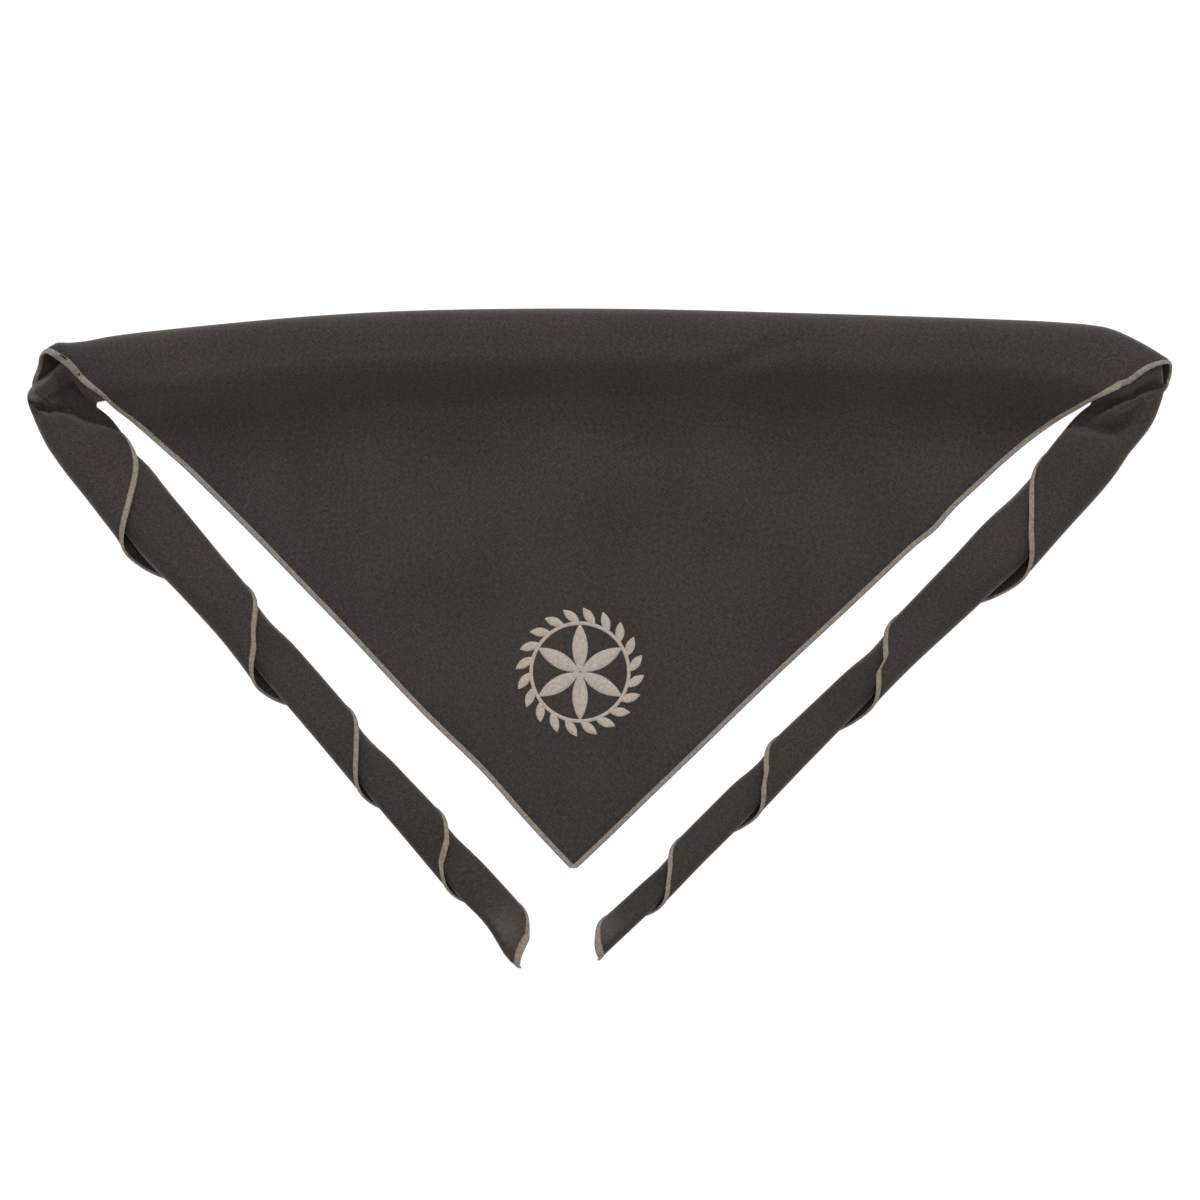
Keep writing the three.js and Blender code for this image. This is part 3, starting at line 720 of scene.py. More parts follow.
    def lying(self, points: np.ndarray) -> np.ndarray:
        """How freely a place can rise off the table: fully on the panel, hardly in the roll."""
        return 1 - self.roll_held * smoothstep(points[:, 2], *self.held_heights)


def mesh_object(name: str, points: np.ndarray, faces: np.ndarray,
                uvs: np.ndarray | None = None) -> bpy.types.Object:
    """Makes a smooth shaded object at the origin out of points in millimetres.

    Args:
        name: The piece's name.
        points: Its places in millimetres.
        faces: Three or four point numbers for each face, seen anticlockwise from outside.
        uvs: U and V of each point, in metres on the flat cloth.

    Returns:
        The linked object.
    """
    mesh = bpy.data.meshes.new(name)
    mesh.from_pydata((points * MM).tolist(), [], faces.tolist())
    mesh.polygons.foreach_set("use_smooth", [True] * len(mesh.polygons))
    if uvs is not None:
        corners = np.empty(len(mesh.loops), int)
        mesh.loops.foreach_get("vertex_index", corners)
        mesh.uv_layers.new(name="flat_cloth").data.foreach_set("uv", uvs[corners].ravel())
    mesh.update()
    made = bpy.data.objects.new(name, mesh)
    bpy.context.collection.objects.link(made)
    return made


def vertex_normals(points: np.ndarray, triangles: np.ndarray) -> np.ndarray:
    """The direction that each point of a sheet faces.

    Args:
        points: The sheet's points.
        triangles: Three point numbers for each face.

    Returns:
        One direction of length 1 for each point.
    """
    corners = points[triangles]
    across = np.cross(corners[:, 1] - corners[:, 0], corners[:, 2] - corners[:, 0])
    normals = np.zeros_like(points)
    for corner in range(3):
        np.add.at(normals, triangles[:, corner], across)
    return unit(normals)


def linear(colour: str) -> tuple[float, float, float, float]:
    """Turns an sRGB colour into a linear one.

    Args:
        colour: The colour as #RRGGBB.

    Returns:
        Linear red, green, blue and full alpha.
    """
    parts = [int(colour[place:place + 2], 16) / 255 for place in (1, 3, 5)]
    return (*(part / 12.92 if part <= 0.04045 else ((part + 0.055) / 1.055) ** 2.4
              for part in parts), 1.0)


def add_node(tree: bpy.types.NodeTree, kind: str, inputs: dict[Any, Any] | None = None,
             **settings: Any) -> bpy.types.Node:
    """Adds one node with its settings and links.

    Args:
        tree: The node tree that it goes into.
        kind: The node's type.
        inputs: For each socket name or number, a value or the output that feeds it.
        settings: The node's own properties.

    Returns:
        The new node.
    """
    made = tree.nodes.new(kind)
    for name, value in settings.items():
        setattr(made, name, value)
    for socket, value in (inputs or {}).items():
        if isinstance(value, bpy.types.NodeSocket):
            tree.links.new(value, made.inputs[socket])
        else:
            made.inputs[socket].default_value = value
    return made


def set_ramp(ramp: bpy.types.Node, stops: dict[float, Any]) -> None:
    """Sets a colour ramp's stops.

    Args:
        ramp: The ramp's node.
        stops: An sRGB hex colour or a grey value for each place on the ramp.
    """
    elements = ramp.color_ramp.elements
    while len(elements) < len(stops):
        elements.new(0.5)
    for element, (place, value) in zip(elements, sorted(stops.items())):
        element.position = place
        element.color = linear(value) if isinstance(value, str) else (value, value, value, 1)


@dataclass(frozen=True)
class CharcoalPoplin:
    """Plain woven poly-cotton poplin, piece dyed charcoal brown and pressed.

    The two fibres take the dye a little differently, which gives the eye a faint heather and short
    streaks along the threads. The fuzz of the cotton catches light at grazing angles.
    """

    dark: str = "#1F1B18"
    middle: str = "#322E2B"
    light: str = "#463F3A"
    # Painted light: a paler colour that stands in for the table's light shining through the single
    # layer at the tips
    painted_see_through_colour: str = "#5E5954"
    thread_pitch: float = 0.0009  # the real threads lie 0.28 mm apart, too fine to show
    slub_width: float = 0.0007  # a real slub is one 0.28 mm thread wide, too fine to show
    slub_lengths: tuple[float, float] = (0.0026, 0.0024)
    heather_grain: float = 0.0009
    dye_drift: float = 0.05

    def make(self) -> bpy.types.Material:
        """Builds the material.

        Returns:
            The new material, which reads the flat cloth's UV map.
        """
        material = bpy.data.materials.new("charcoal_poplin")
        material.use_nodes = True
        tree = material.node_tree
        shader = tree.nodes["Principled BSDF"]
        flat = add_node(tree, "ShaderNodeUVMap", uv_map="flat_cloth").outputs["UV"]
        streaks = []
        warp, weft = self.slub_lengths
        for wide, long in ((self.slub_width, warp), (weft, self.slub_width)):
            stretched = add_node(tree, "ShaderNodeMapping",
                                 {"Vector": flat, "Scale": (1 / wide, 1 / long, 1)})
            streaks.append(add_node(tree, "ShaderNodeTexNoise", {
                "Vector": stretched.outputs["Vector"], "Scale": 1.0, "Detail": 2.0,
                "Roughness": 0.6}).outputs["Fac"])
        heather = add_node(tree, "ShaderNodeTexNoise", {
            "Vector": flat, "Scale": 1 / self.heather_grain, "Detail": 3.0,
            "Roughness": 0.7}).outputs["Fac"]
        broad = add_node(tree, "ShaderNodeTexNoise", {
            "Vector": flat, "Scale": 1 / self.dye_drift, "Detail": 1.0}).outputs["Fac"]
        both = add_node(tree, "ShaderNodeMath", {0: streaks[0], 1: streaks[1]}, operation="ADD")
        more = add_node(tree, "ShaderNodeMath", {0: both.outputs[0], 1: heather}, operation="ADD")
        most = add_node(tree, "ShaderNodeMath", {0: broad, 1: 0.35, 2: more.outputs[0]},
                        operation="MULTIPLY_ADD")
        mean = add_node(tree, "ShaderNodeMath", {0: most.outputs[0], 1: 0.3}, operation="MULTIPLY")
        dyed = add_node(tree, "ShaderNodeValToRGB", {"Fac": mean.outputs[0]})
        set_ramp(dyed, {0.36: self.dark, 0.5: self.middle, 0.64: self.light})
        # Painted light: at the tips the cloth's colour is mixed, mottled by the heather, towards a
        # paler one that stands in for the table's light shining through
        see_through_mask = add_node(tree, "ShaderNodeAttribute", attribute_name="painted_see_through").outputs["Fac"]
        see_through_mottle = add_node(tree, "ShaderNodeMath", {0: see_through_mask, 1: heather}, operation="MULTIPLY")
        colour = add_node(tree, "ShaderNodeMix", {
            "Factor": see_through_mottle.outputs[0], "A": dyed.outputs["Color"],
            "B": linear(self.painted_see_through_colour)}, data_type="RGBA")
        tree.links.new(colour.outputs["Result"], shader.inputs["Base Color"])
        waves = [add_node(tree, "ShaderNodeTexWave", {
            "Vector": flat, "Scale": WAVE_RATE / self.thread_pitch, "Distortion": 0.6,
            "Detail": 1.0}, wave_type="BANDS", bands_direction=way).outputs["Fac"]
            for way in ("X", "Y")]
        weave = add_node(tree, "ShaderNodeMath", {0: waves[0], 1: waves[1]}, operation="MULTIPLY")
        relief = add_node(tree, "ShaderNodeMath", {0: weave.outputs[0], 1: heather},
                          operation="ADD")
        bump = add_node(tree, "ShaderNodeBump", {
            "Height": relief.outputs[0], "Strength": 0.35, "Distance": 0.0002})
        tree.links.new(bump.outputs["Normal"], shader.inputs["Normal"])
        for socket, value in (("Roughness", 0.88), ("Specular IOR Level", 0.25),
                              ("Sheen Weight", 0.18), ("Sheen Roughness", 0.45)):
            shader.inputs[socket].default_value = value
        shader.inputs["Sheen Tint"].default_value = linear("#FFF4EA")
        return material


@dataclass(frozen=True)
class SewingThread:
    """Twisted sewing thread, whose plies show as fine slanting lines.

    Spun polyester is matt and a little fuzzy, and rayon is smoother, with a soft gloss.
    """

    name: str
    dark: str
    light: str
    roughness: float
    sheen: float
    ply_pitch: float = 0.0008  # the real plies lie 0.3 mm apart, too fine to show
    dye_grain: float = 0.0014

    def make(self) -> bpy.types.Material:
        """Builds the material.

        Returns:
            The new material, which reads Object coordinates.
        """
        material = bpy.data.materials.new(self.name)
        material.use_nodes = True
        tree = material.node_tree
        shader = tree.nodes["Principled BSDF"]
        place = add_node(tree, "ShaderNodeTexCoord").outputs["Object"]
        shade = add_node(tree, "ShaderNodeTexNoise", {
            "Vector": place, "Scale": 1 / self.dye_grain, "Detail": 3.0,
            "Roughness": 0.65}).outputs["Fac"]
        dyed = add_node(tree, "ShaderNodeValToRGB", {"Fac": shade})
        set_ramp(dyed, {0.3: self.dark, 0.68: self.light})
        tree.links.new(dyed.outputs["Color"], shader.inputs["Base Color"])
        plies = add_node(tree, "ShaderNodeTexWave", {
            "Vector": place, "Scale": WAVE_RATE / self.ply_pitch, "Distortion": 1.5,
            "Detail": 2.0}, wave_type="BANDS", bands_direction="DIAGONAL").outputs["Fac"]
        bump = add_node(tree, "ShaderNodeBump", {
            "Height": plies, "Strength": 0.3, "Distance": 0.0001})
        tree.links.new(bump.outputs["Normal"], shader.inputs["Normal"])
        for socket, value in (("Roughness", self.roughness), ("Specular IOR Level", 0.35),
                              ("Sheen Weight", self.sheen), ("Sheen Roughness", 0.4)):
            shader.inputs[socket].default_value = value
        return material


# Spun polyester overlock thread, stone coloured and matt
STONE_THREAD = SewingThread("stone_thread", "#6F665C", "#938A7E", 0.8, 0.1)
# Rayon embroidery thread, pale and softly glossy
PALE_THREAD = SewingThread("pale_thread", "#978D83", "#B6ABA0", 0.55, 0.15)
# Polyester sewing thread dyed to match the cloth, a little darker than it on the whole
HEM_THREAD = SewingThread("hem_thread", "#241F1D", "#3A3532", 0.8, 0.1)


def finish_piece(piece: bpy.types.Object, material: bpy.types.Material) -> None:
    """Gives a piece its material and its slot, and lets it ride on the frame.

    Args:
        piece: The finished object.
        material: Its finish.
    """
    piece.data.materials.append(material)
    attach(piece, "root")


@dataclass
class ClothSheet:
    """The rolled cloth as a closed sheet: two skins over rows of places, joined round the rim."""

    rolled: RolledCloth
    drape: Drape
    wall: float = 0.5
    hem_wall: float = 0.9
    edge_inset: float = 1.0
    step: float = 0.9
    bend_span: tuple[float, float] = (208.0, 290.0)
    fall_step: float = 1.25
    flat_step: float = 3.8
    turn_segments: tuple = ((0, 36), (1, 22), (2, 30), (3, 14), (4, 11), (8, 8))
    hidden_after: float = 2.2
    seen_strides: tuple[int, int] = (1, 5)
    hidden_strides: tuple[int, int] = (4, 15)
    hem_step: float = 0.02
    # Where the painted see-through light lies at the tips: X, Y and how far it spreads, in
    # millimetres
    tips: tuple = ((-43.0, -132.0, 9.0), (2.0, -132.0, 8.0))
    row_stations: list[np.ndarray] = field(default_factory=list)

    def levels(self) -> list[float]:
        """Chooses the rows.

        Returns:
            Their levels, from the panel's point in to the long edge.
        """
        rolled, flat_share = self.rolled, self.rolled.sizes.flat_share
        point = rolled.sizes.panel_depth - self.edge_inset * math.sqrt(2)
        fall = np.linspace(0, rolled.fall_run, round(rolled.fall_run / self.fall_step) + 1)[1:]
        lying = point - rolled.fall_run
        flat = np.linspace(rolled.fall_run, point, round(lying / self.flat_step) + 1)[1:]
        turns = []
        for number in range(math.ceil(rolled.last_turn)):
            segments = [count for first, count in self.turn_segments if first <= number][-1]
            turns += [number, number + flat_share / 2]
            turns += [number + flat_share + (1 - 2 * flat_share) * step / segments
                      for step in range(segments + 1)]
            turns += [number + (1 - flat_share / 2)]
        turns = [turn for turn in turns
                 if turn < rolled.last_turn - 0.05 and abs(turn - rolled.hem_turn) > 0.04]
        ends = [rolled.hem_turn, rolled.hem_turn + self.hem_step, rolled.last_turn]
        return [*(-np.concatenate([fall, flat])[::-1]), *sorted(turns + ends)]

    def strides(self, side: Side, level: float, runs: np.ndarray) -> np.ndarray:
        """Spaces a row's places: close at the bends, and far apart where they are hidden.

        Args:
            side: The side.
            level: The row's level.
            runs: Distances along the roll.

        Returns:
            How many steps apart the places lie at each distance.
        """
        low, high = self.bend_span
        (fine, plain), (bent_hidden, hidden_far) = self.seen_strides, self.hidden_strides
        bend = (runs > low) & (runs < high)
        under = level - self.hidden_after
        covered = self.rolled.reach(side, under) if under > 0 else 0.0
        hidden = (runs < covered) | ((level > 1) & (runs < low))
        seen = fine if level > -self.rolled.fall_run else plain
        return np.where(bend, np.where(hidden, bent_hidden, seen),
                        np.where(hidden, hidden_far, plain))

    def stations(self, level: float) -> np.ndarray:
        """Spaces the places of a row.

        Args:
            level: The row's level.

        Returns:
            Their distances along the roll, from its left edge to its right.
        """
        inset = self.edge_inset * math.sqrt(2)
        left, right = (side.value * (self.rolled.reach(side, level) - inset) for side in Side)
        if right - left < 5 * self.step:
            return np.array([(left + right) / 2])
        numbers = np.arange(math.ceil((self.rolled.long_half + 20) / self.step))
        runs = numbers * self.step
        there = {side: runs[numbers % self.strides(side, level, runs) == 0] for side in Side}
        columns = np.concatenate([-there[Side.LEFT][:0:-1], there[Side.RIGHT]])
        gap = self.step / 2
        return np.array([left, *columns[(columns > left + gap) & (columns < right - gap)], right])

    def rows(self) -> tuple[np.ndarray, np.ndarray, np.ndarray, list[np.ndarray]]:
        """Lays the rows.

        Returns:
            The points, their flat UVs, their walls, and the point numbers of each row.
        """
        points, uvs, walls, numbers = [], [], [], []
        self.row_stations, first = [], 0
        for level in self.levels():
            s = self.stations(level)
            points.append(self.drape.settle(self.rolled.place(s, level), level))
            depth = self.rolled.depth_of(level)
            uvs.append(np.column_stack([s + depth, s - depth]) * ROOT_HALF * MM)
            wall = self.hem_wall if level > self.rolled.hem_turn else self.wall
            walls.append(np.full(len(s), wall))
            numbers.append(np.arange(first, first + len(s)))
            self.row_stations.append(s)
            first += len(s)
        return np.concatenate(points), np.concatenate(uvs), np.concatenate(walls), numbers

    def zip_rows(self, numbers: list[np.ndarray]) -> np.ndarray:
        """Joins neighbouring rows, always stepping on where the next place is nearer.

        Args:
            numbers: The point numbers of each row.

        Returns:
            The triangles.
        """
        triangles = []
        for row in range(len(numbers) - 1):
            upper, lower = numbers[row], numbers[row + 1]
            above = np.append(self.row_stations[row][1:], np.inf)
            below = np.append(self.row_stations[row + 1][1:], np.inf)
            i = j = 0
            while i < len(upper) - 1 or j < len(lower) - 1:
                if above[i] < below[j]:
                    triangles.append((upper[i], upper[i + 1], lower[j]))
                    i += 1
                else:
                    triangles.append((upper[i], lower[j + 1], lower[j]))
                    j += 1
        return np.array(triangles)

    def build(self) -> bpy.types.Object:
        """Builds the sheet.

        Returns:
            The cloth as one closed object.
        """
        points, uvs, walls, numbers = self.rows()
        triangles = self.zip_rows(numbers)[:, ::-1]
        normals = vertex_normals(points, triangles)
        if normals[numbers[0][0]][2] < 0:
            triangles, normals = triangles[:, ::-1], -normals
        half = (walls / 2)[:, None] * normals
        count = len(points)
        rim = np.concatenate([[row[0] for row in numbers], numbers[-1][1:-1],
                              [row[-1] for row in numbers][:0:-1]])
        after = np.roll(rim, -1)
        side_faces = np.concatenate([np.column_stack([rim, after, after + count]),
                                     np.column_stack([rim, after + count, rim + count])])
        directed = {(a, b) for face in triangles for a, b in zip(face, np.roll(face, -1))}
        if (rim[0], after[0]) in directed:
            side_faces = side_faces[:, ::-1]
        faces = np.concatenate([triangles, triangles[:, ::-1] + count, side_faces])
        skins = np.concatenate([points + half, points - half])
        sheet = mesh_object("cloth_sheet", skins, faces, np.concatenate([uvs, uvs]))
        self.mark_painted_see_through(sheet, skins)
        return sheet

    def mark_painted_see_through(self, sheet: bpy.types.Object, skins: np.ndarray) -> None:
        """Marks where the table's light shining through the last single layer at the tips is
        painted into the cloth's colour.

        Args:
            sheet: The built cloth, which gets the attribute.
            skins: The points of both its skins, in millimetres.
        """
        levels = self.levels()
        lengths = [len(s) for s in self.row_stations]
        plain = np.tile(np.repeat([level < self.rolled.hem_turn for level in levels], lengths), 2)
        amount = np.zeros(len(skins))
        for x, y, width in self.tips:
            apart = np.hypot(skins[:, 0] - x, skins[:, 1] - y)
            amount += np.exp(-((apart / width) ** 2))
        attribute = sheet.data.attributes.new("painted_see_through", "FLOAT", "POINT")
        attribute.data.foreach_set("value", np.clip(amount, 0, 1) * plain)

    def dress(self, sheet: bpy.types.Object, pieces: list[bpy.types.Object]) -> None:
        """Gives the sheet its finish and hides the solid model's cloth.

        Args:
            sheet: The built cloth.
            pieces: What is sewn to it; not used.
        """
        finish_piece(sheet, CharcoalPoplin().make())
        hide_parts("cloth")


@dataclass
class OverlockEdging:
    """The overlocked thread along both short sides, one band of slanting loops round the edge."""

    rolled: RolledCloth
    drape: Drape
    width: float = 2.4
    half_height: float = 0.55
    raised: float = 0.12
    loop_pitch: float = 1.05
    loop_slant: float = 0.3
    loop_relief: float = 0.16
    corner_power: float = 0.8
    step: float = 0.36
    ring: int = 10
    panel_places: int = 150
    roll_places: int = 560

    def levels(self) -> np.ndarray:
        """Chooses the places along one edge.

        Returns:
            Their levels, from the panel's point to the tip.
        """
        rolled = self.rolled
        depths = np.linspace(rolled.sizes.panel_depth, 0, self.panel_places)[1:-1]
        return np.concatenate([-depths, np.linspace(0, rolled.last_turn, self.roll_places)])

    def side_rails(self, side: Side) -> np.ndarray:
        """Lays the two rails of the band on one side.

        Args:
            side: The side.

        Returns:
            The outer and inner rail's places, from the panel's point to the tip.
        """
        rails = []
        for level in self.levels():
            inside = self.rolled.inside_edge(side, level, self.width)
            edge = side.value * self.rolled.reach(side, level)
            rails.append(self.rolled.place(np.array([edge, inside]), level))
        return np.array(rails)

    def rails(self) -> tuple[np.ndarray, np.ndarray]:
        """Lays both rails from the left tip round the panel's point to the right tip.

        Returns:
            The rails' places in even steps, and how far along the band each step is.
        """
        depth = self.rolled.sizes.panel_depth
        point = np.array([self.rolled.place(np.array([0.0]), -at)[0]
                          for at in (depth, depth - self.width * math.sqrt(2))])
        rails = np.concatenate([self.side_rails(Side.LEFT)[::-1], point[None],
                                self.side_rails(Side.RIGHT)])
        levels = np.concatenate([self.levels()[::-1], [-depth], self.levels()])
        rails = self.drape.settle(rails.reshape(-1, 3), np.repeat(levels, 2)).reshape(-1, 2, 3)
        middle = rails.mean(axis=1)
        run = np.concatenate([[0], np.cumsum(np.linalg.norm(np.diff(middle, axis=0), axis=1))])
        even = np.linspace(0, run[-1], round(run[-1] / self.step))
        flat = rails.reshape(len(rails), 6)
        stepped = np.column_stack([np.interp(even, run, flat[:, axis]) for axis in range(6)])
        return stepped.reshape(-1, 2, 3), even

    def build(self) -> bpy.types.Object:
        """Builds the band with a ridge for each loop of thread.

        Returns:
            The edging as one closed object.
        """
        rails, runs = self.rails()
        middle, across = rails.mean(axis=1), (rails[:, 1] - rails[:, 0]) / 2
        along = np.gradient(middle, axis=0)
        normal = unit(np.cross(along, across))
        angles = np.arange(self.ring) * math.tau / self.ring
        sideways = np.sign(np.cos(angles)) * np.abs(np.cos(angles)) ** self.corner_power
        phase = math.tau * (runs[:, None] / self.loop_pitch + self.loop_slant * np.cos(angles))
        ridge = np.cos(phase)
        tooth = self.loop_relief * np.maximum(0, ridge) * (sideways > 0.5)
        wide = sideways * (1 + tooth)
        swell = 1 + self.loop_relief * ridge
        high = np.sin(angles) * self.half_height * swell + self.raised
        points = (middle[:, None] + across[:, None] * wide[..., None]
                  + normal[:, None] * high[..., None])
        count, ring = points.shape[:2]
        grid = np.arange(count * ring).reshape(count, ring)
        after = np.roll(grid, -1, axis=1)
        quads = np.stack([grid[:-1], grid[1:], after[1:], after[:-1]], axis=-1).reshape(-1, 4)
        band = mesh_object("edging_band", points.reshape(-1, 3), quads)
        close_ends(band)
        return band

    def dress(self, band: bpy.types.Object) -> None:
        """Gives the band its thread."""
        finish_piece(band, STONE_THREAD.make())
        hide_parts("edge_binding")


def close_ends(piece: bpy.types.Object) -> None:
    """Closes the open ends of tubes and turns their faces outwards.

    Args:
        piece: The object that is made of them.
    """
    bpy.ops.object.select_all(action="DESELECT")
    bpy.context.view_layer.objects.active = piece
    piece.select_set(True)
    bpy.ops.object.mode_set(mode="EDIT")
    bpy.ops.mesh.select_all(action="DESELECT")
    bpy.ops.mesh.select_non_manifold()
    bpy.ops.mesh.edge_face_add()
    bpy.ops.mesh.select_all(action="SELECT")
    bpy.ops.mesh.normals_make_consistent(inside=False)
    bpy.ops.object.mode_set(mode="OBJECT")
    piece.select_set(False)


@dataclass
class HemStitches:
    """The row of lockstitches that holds the turned long edge down, on the cloth's outer face."""

    rolled: RolledCloth
    drape: Drape
    length: float = 2.3
    pitch: float = 2.9
    thickness: float = 0.34
    from_edge: float = 6.2
    face_height: float = 0.42
    tip_gap: float = 5.0
    sides: int = 6
    beside: float = 0.02
    looked_at: float = 300.0

    def build(self) -> bpy.types.Object:
        """Builds the stitches, each a short low strand with pinched ends.

        Returns:
            All the stitches as one object.
        """
        rolled = self.rolled
        share = self.from_edge / rolled.sizes.hem_width
        level = rolled.last_turn - share * (rolled.last_turn - rolled.hem_turn)
        left, right = (side.value * (rolled.reach(side, level) - self.tip_gap) for side in Side)
        starts = np.arange(left, right, self.pitch)
        shares = np.array([0.0, 0.2, 0.5, 0.8, 1.0])
        round_by = np.array([0.3, 0.85, 1.0, 0.85, 0.3])
        s = (starts[:, None] + self.length * shares).ravel()
        middle, beside = (self.drape.settle(rolled.place(s, at), at)
                          for at in (level, level + self.beside))
        along = unit(np.gradient(middle, axis=0))
        across = unit(beside - middle)
        normal = unit(np.cross(across, along))
        normal *= self.outward(level, normal)
        angles = np.arange(self.sides) * math.tau / self.sides
        size = np.tile(round_by, len(starts))[:, None, None] * self.thickness
        ring = (across[:, None] * np.cos(angles)[:, None]
                + normal[:, None] * np.sin(angles)[:, None])
        points = (middle + normal * self.face_height)[:, None] + ring * size
        grid = np.arange(len(s) * self.sides).reshape(len(starts), len(shares), self.sides)
        after = np.roll(grid, -1, axis=2)
        quads = np.stack([grid[:, :-1], after[:, :-1], after[:, 1:], grid[:, 1:]], axis=-1)
        stitches = mesh_object("hem_stitches", points.reshape(-1, 3), quads.reshape(-1, 4))
        close_ends(stitches)
        return stitches

    def outward(self, level: float, normal: np.ndarray) -> float:
        """Finds which way the stitches' normals look.

        Args:
            level: The stitch line's level.
            normal: The normals along it.

        Returns:
            1 where they look out of the scroll, and -1 where they look in.
        """
        there = np.array([self.looked_at])
        top = self.rolled.place(there, level)[0]
        centre = self.rolled.per_side(there, lambda route, runs: route.centreline(runs)[0])[0]
        height = self.rolled.per_side(there, self.rolled.middle_height)[0]
        out = np.append(top[:2] - centre, top[2] - height)
        nearest = normal[len(normal) * 3 // 4]
        return 1.0 if float(out @ nearest) > 0 else -1.0

    def dress(self, stitches: bpy.types.Object) -> None:
        """Gives the stitches their thread."""
        finish_piece(stitches, HEM_THREAD.make())


@dataclass
class RosetteEmbroidery:
    """The generic motif above the point: a leaf wreath round a six petalled rosette.

    Each shape is satin stitch: a low pillow of threads laid side by side across it.
    """

    drape: Drape
    middle: tuple[float, float] = (-9.0, -15.0)
    depth: float = 150.0
    base: float = 0.7
    height: float = 0.55
    wreath_radius: float = 22.5
    stem: float = 1.8
    leaf_count: int = 20
    leaf_length: float = 10.0
    leaf_width: float = 4.4
    leaf_lean: float = 52.0
    petal_count: int = 6
    petal_width: float = 7.5
    heart: float = 3.2
    thread_pitch: float = 0.5
    thread_relief: float = 0.16
    tucked_under: float = 0.25

    def pillow(self, spine: np.ndarray, half_widths: np.ndarray) -> tuple[np.ndarray, np.ndarray]:
        """A satin stitched pillow along a spine.

        Args:
            spine: X and Y along the middle of the shape.
            half_widths: Half the shape's width at each place of the spine.

        Returns:
            Its points and faces.
        """
        run = np.concatenate([[0], np.cumsum(np.linalg.norm(np.diff(spine, axis=0), axis=1))])
        even = np.arange(0, run[-1], self.thread_pitch / 3)
        middle = np.column_stack([np.interp(even, run, spine[:, axis]) for axis in range(2)])
        half = np.interp(even, run, half_widths)
        along = unit(np.gradient(middle, axis=0))
        across = np.column_stack([-along[:, 1], along[:, 0]])
        shares = np.array([-1.0, -0.85, -0.45, 0.0, 0.45, 0.85, 1.0])
        crown = np.sqrt(np.maximum(0, 1 - shares**2))
        ridge = np.cos(math.tau * (even[:, None] / self.thread_pitch + 0.5 * shares))
        thick = self.height * np.minimum(1, half / 1.0)[:, None]
        high = crown * thick * (1 + self.thread_relief * ridge)
        seen = middle[:, None] + across[:, None] * (half[:, None] * shares)[..., None]
        top = np.dstack([seen, high + self.base])
        under = np.dstack([seen[:, 1:-1], np.full((len(even), len(shares) - 2),
                                                  self.base - self.tucked_under)])
        ring = np.concatenate([top, under[:, ::-1]], axis=1)
        count, width = ring.shape[:2]
        grid = np.arange(count * width).reshape(count, width)
        after = np.roll(grid, -1, axis=1)
        quads = np.stack([grid[:-1], after[:-1], after[1:], grid[1:]], axis=-1).reshape(-1, 4)
        return ring.reshape(-1, 3), quads

    def shapes(self) -> list[tuple[np.ndarray, np.ndarray]]:
        """Draws the leaves and petals about the motif's middle.

        Returns:
            The spine and half widths of each.
        """
        found = []
        share = np.linspace(0, 1, 24)
        swell = 2 * share * (1 - share)
        for number in range(self.leaf_count):
            turn = number * math.tau / self.leaf_count
            root = self.wreath_radius * np.array([math.cos(turn), math.sin(turn)])
            lean = turn + math.radians(self.leaf_lean)
            way = np.array([math.cos(lean), math.sin(lean)])
            found.append((root + share[:, None] * self.leaf_length * way, swell * self.leaf_width))
        for number in range(self.petal_count):
            turn = math.pi / 2 + number * math.tau / self.petal_count
            way = np.array([math.cos(turn), math.sin(turn)])
            found.append((share[:, None] * self.wreath_radius * way, swell * self.petal_width))
        return found

    def rings(self) -> list[tuple[np.ndarray, np.ndarray]]:
        """Draws the wreath's stem and the rosette's heart as stitched rings.

        Returns:
            The spine and half widths of each.
        """
        turns = np.linspace(0, math.tau, 200)
        circle, even = np.column_stack([np.cos(turns), np.sin(turns)]), np.ones(len(turns))
        return [(circle * self.wreath_radius, even * (self.stem / 2)),
                (circle * self.heart * 0.55, even * (self.heart * 0.5))]

    def build(self) -> bpy.types.Object:
        """Builds the motif.

        Returns:
            All the stitched shapes as one object.
        """
        points, faces, first = [], [], 0
        for spine, half_widths in [*self.shapes(), *self.rings()]:
            made, quads = self.pillow(spine, half_widths)
            points.append(made)
            faces.append(quads + first)
            first += len(made)
        placed = np.concatenate(points)
        placed[:, :2] += self.middle
        settled = self.drape.settle(placed, -self.depth)
        motif = mesh_object("rosette_embroidery", settled, np.concatenate(faces))
        close_ends(motif)
        return motif

    def dress(self, motif: bpy.types.Object) -> None:
        """Gives the motif its thread."""
        finish_piece(motif, PALE_THREAD.make())
        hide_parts("embroidery")


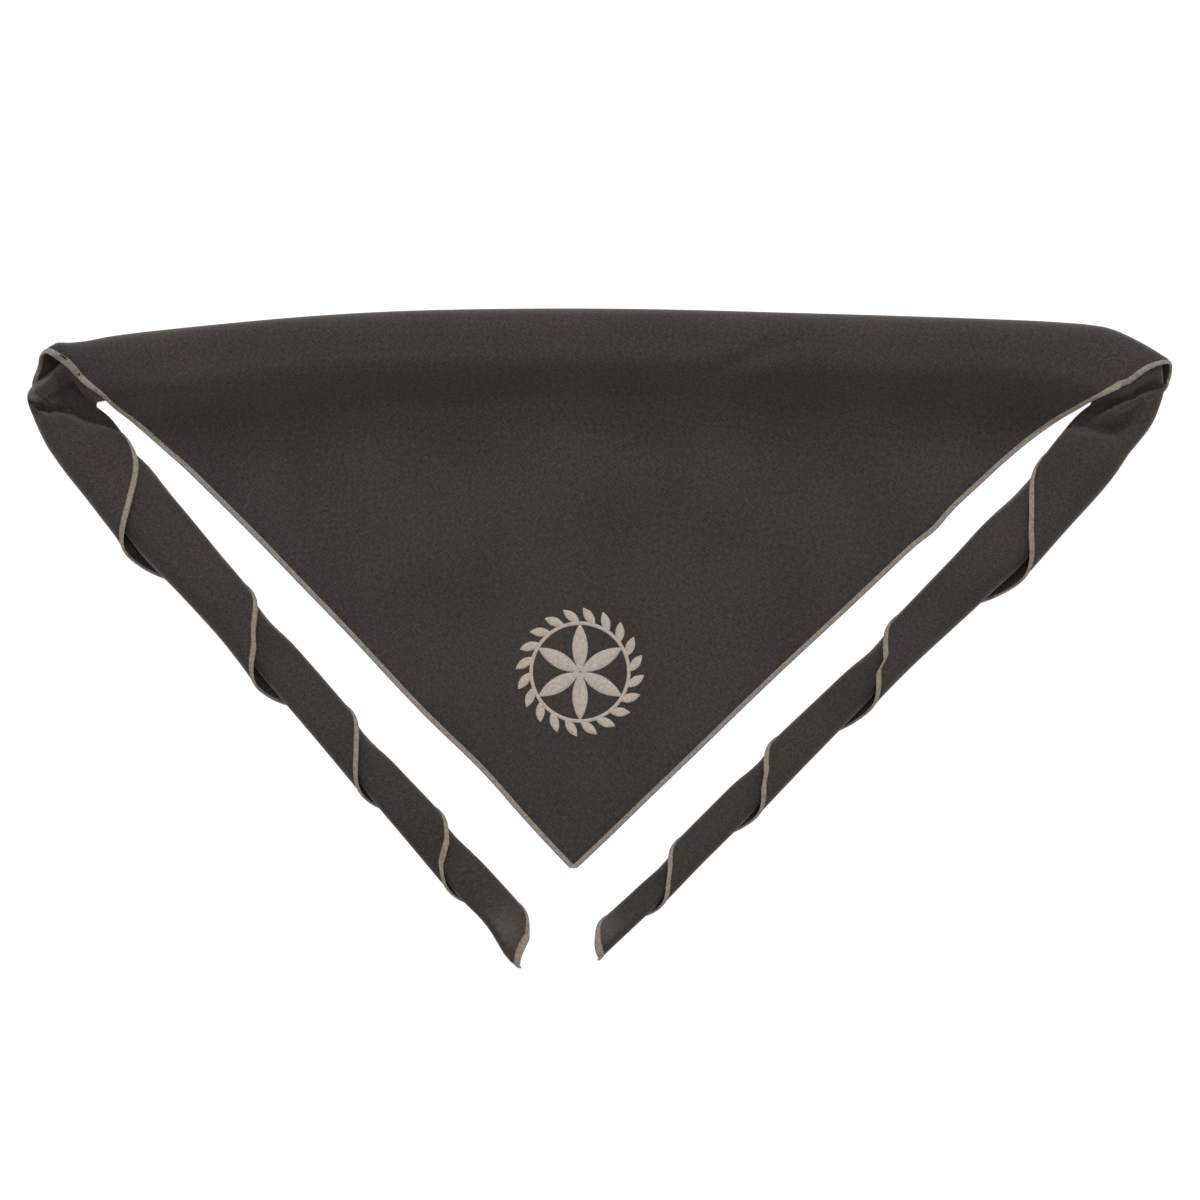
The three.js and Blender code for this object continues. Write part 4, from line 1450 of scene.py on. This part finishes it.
@dataclass
class Studio:
    """A pale shooting table under soft light, with a camera straight above."""

    view_width: float = 0.552
    view_centre: tuple[float, float] = (0.0002, 0.01817)
    camera_height: float = 4.0
    table_colour: str = "#8F8E8C"
    table_glow: float = 0.9
    world_strength: float = 0.45

    def build(self) -> None:
        """Sets the table, the lights and the camera."""
        self.lay_table()
        self.add_softbox("overhead_softbox", (0.0, 0.2, 2.4), (1.8, 1.8), 28)
        self.add_softbox("back_softbox", (0.3, 1.9, 1.35), (1.2, 0.8), 20)
        self.light_world()
        self.add_camera()

    def lay_table(self) -> None:
        """Adds the table top, opal acrylic lit from below, on which things throw no shadow."""
        bpy.ops.object.select_all(action="DESELECT")
        bpy.ops.mesh.primitive_plane_add(size=24, location=(0, 0, -0.0003))
        table = bpy.context.active_object
        table.name = "table_top"
        material = bpy.data.materials.new("opal_acrylic")
        material.use_nodes = True
        shader = material.node_tree.nodes["Principled BSDF"]
        shader.inputs["Base Color"].default_value = linear(self.table_colour)
        shader.inputs["Roughness"].default_value = 0.9
        shader.inputs["Emission Color"].default_value = linear("#FFFFFF")
        shader.inputs["Emission Strength"].default_value = self.table_glow
        table.data.materials.append(material)

    def add_softbox(self, name: str, place: tuple[float, float, float],
                    size: tuple[float, float], power: float) -> None:
        """Adds a softbox that looks at the origin.

        Args:
            name: Its name.
            place: Where it hangs, in metres.
            size: Its width and height.
            power: Its power in watts.
        """
        light = bpy.data.lights.new(name, "AREA")
        light.shape, light.energy = "RECTANGLE", power
        light.size, light.size_y = size
        box = bpy.data.objects.new(name, light)
        box.location = place
        box.rotation_euler = (-box.location).to_track_quat("-Z", "Y").to_euler()
        box.visible_camera = False
        bpy.context.collection.objects.link(box)

    def light_world(self) -> None:
        """Lights the scene evenly from all round, as a light tent does."""
        world = bpy.data.worlds.new("light_tent")
        world.use_nodes = True
        background = world.node_tree.nodes["Background"]
        background.inputs["Color"].default_value = linear("#FFFFFF")
        background.inputs["Strength"].default_value = self.world_strength
        bpy.context.scene.world = world
        bpy.context.scene.view_settings.view_transform = "Standard"

    def add_camera(self) -> None:
        """Adds the camera straight above, with a long lens."""
        camera = bpy.data.cameras.new("camera")
        camera.lens = camera.sensor_width * self.camera_height / self.view_width
        camera.clip_end = 20
        held = bpy.data.objects.new("camera", camera)
        held.location = (*self.view_centre, self.camera_height)
        bpy.context.collection.objects.link(held)
        bpy.context.scene.camera = held


def main() -> None:
    """Builds the neckerchief piece by piece, then the studio."""
    rolled, drape = RolledCloth(RollSizes()), Drape()
    sheet_maker = ClothSheet(rolled, drape)
    edging_maker = OverlockEdging(rolled, drape)
    stitch_maker = HemStitches(rolled, drape)
    motif_maker = RosetteEmbroidery(drape)
    sheet, edging = sheet_maker.build(), edging_maker.build()
    stitches, motif = stitch_maker.build(), motif_maker.build()
    edging_maker.dress(edging)
    stitch_maker.dress(stitches)
    motif_maker.dress(motif)
    sheet_maker.dress(sheet, [edging, stitches, motif])
    for piece in (sheet, edging, stitches, motif):
        piece.data.calc_loop_triangles()
        log.info("%s: %d triangles", piece.name, len(piece.data.loop_triangles))
    Studio().build()


if __name__ == "__main__":
    logging.basicConfig(level=logging.INFO, format="%(message)s")
    main()
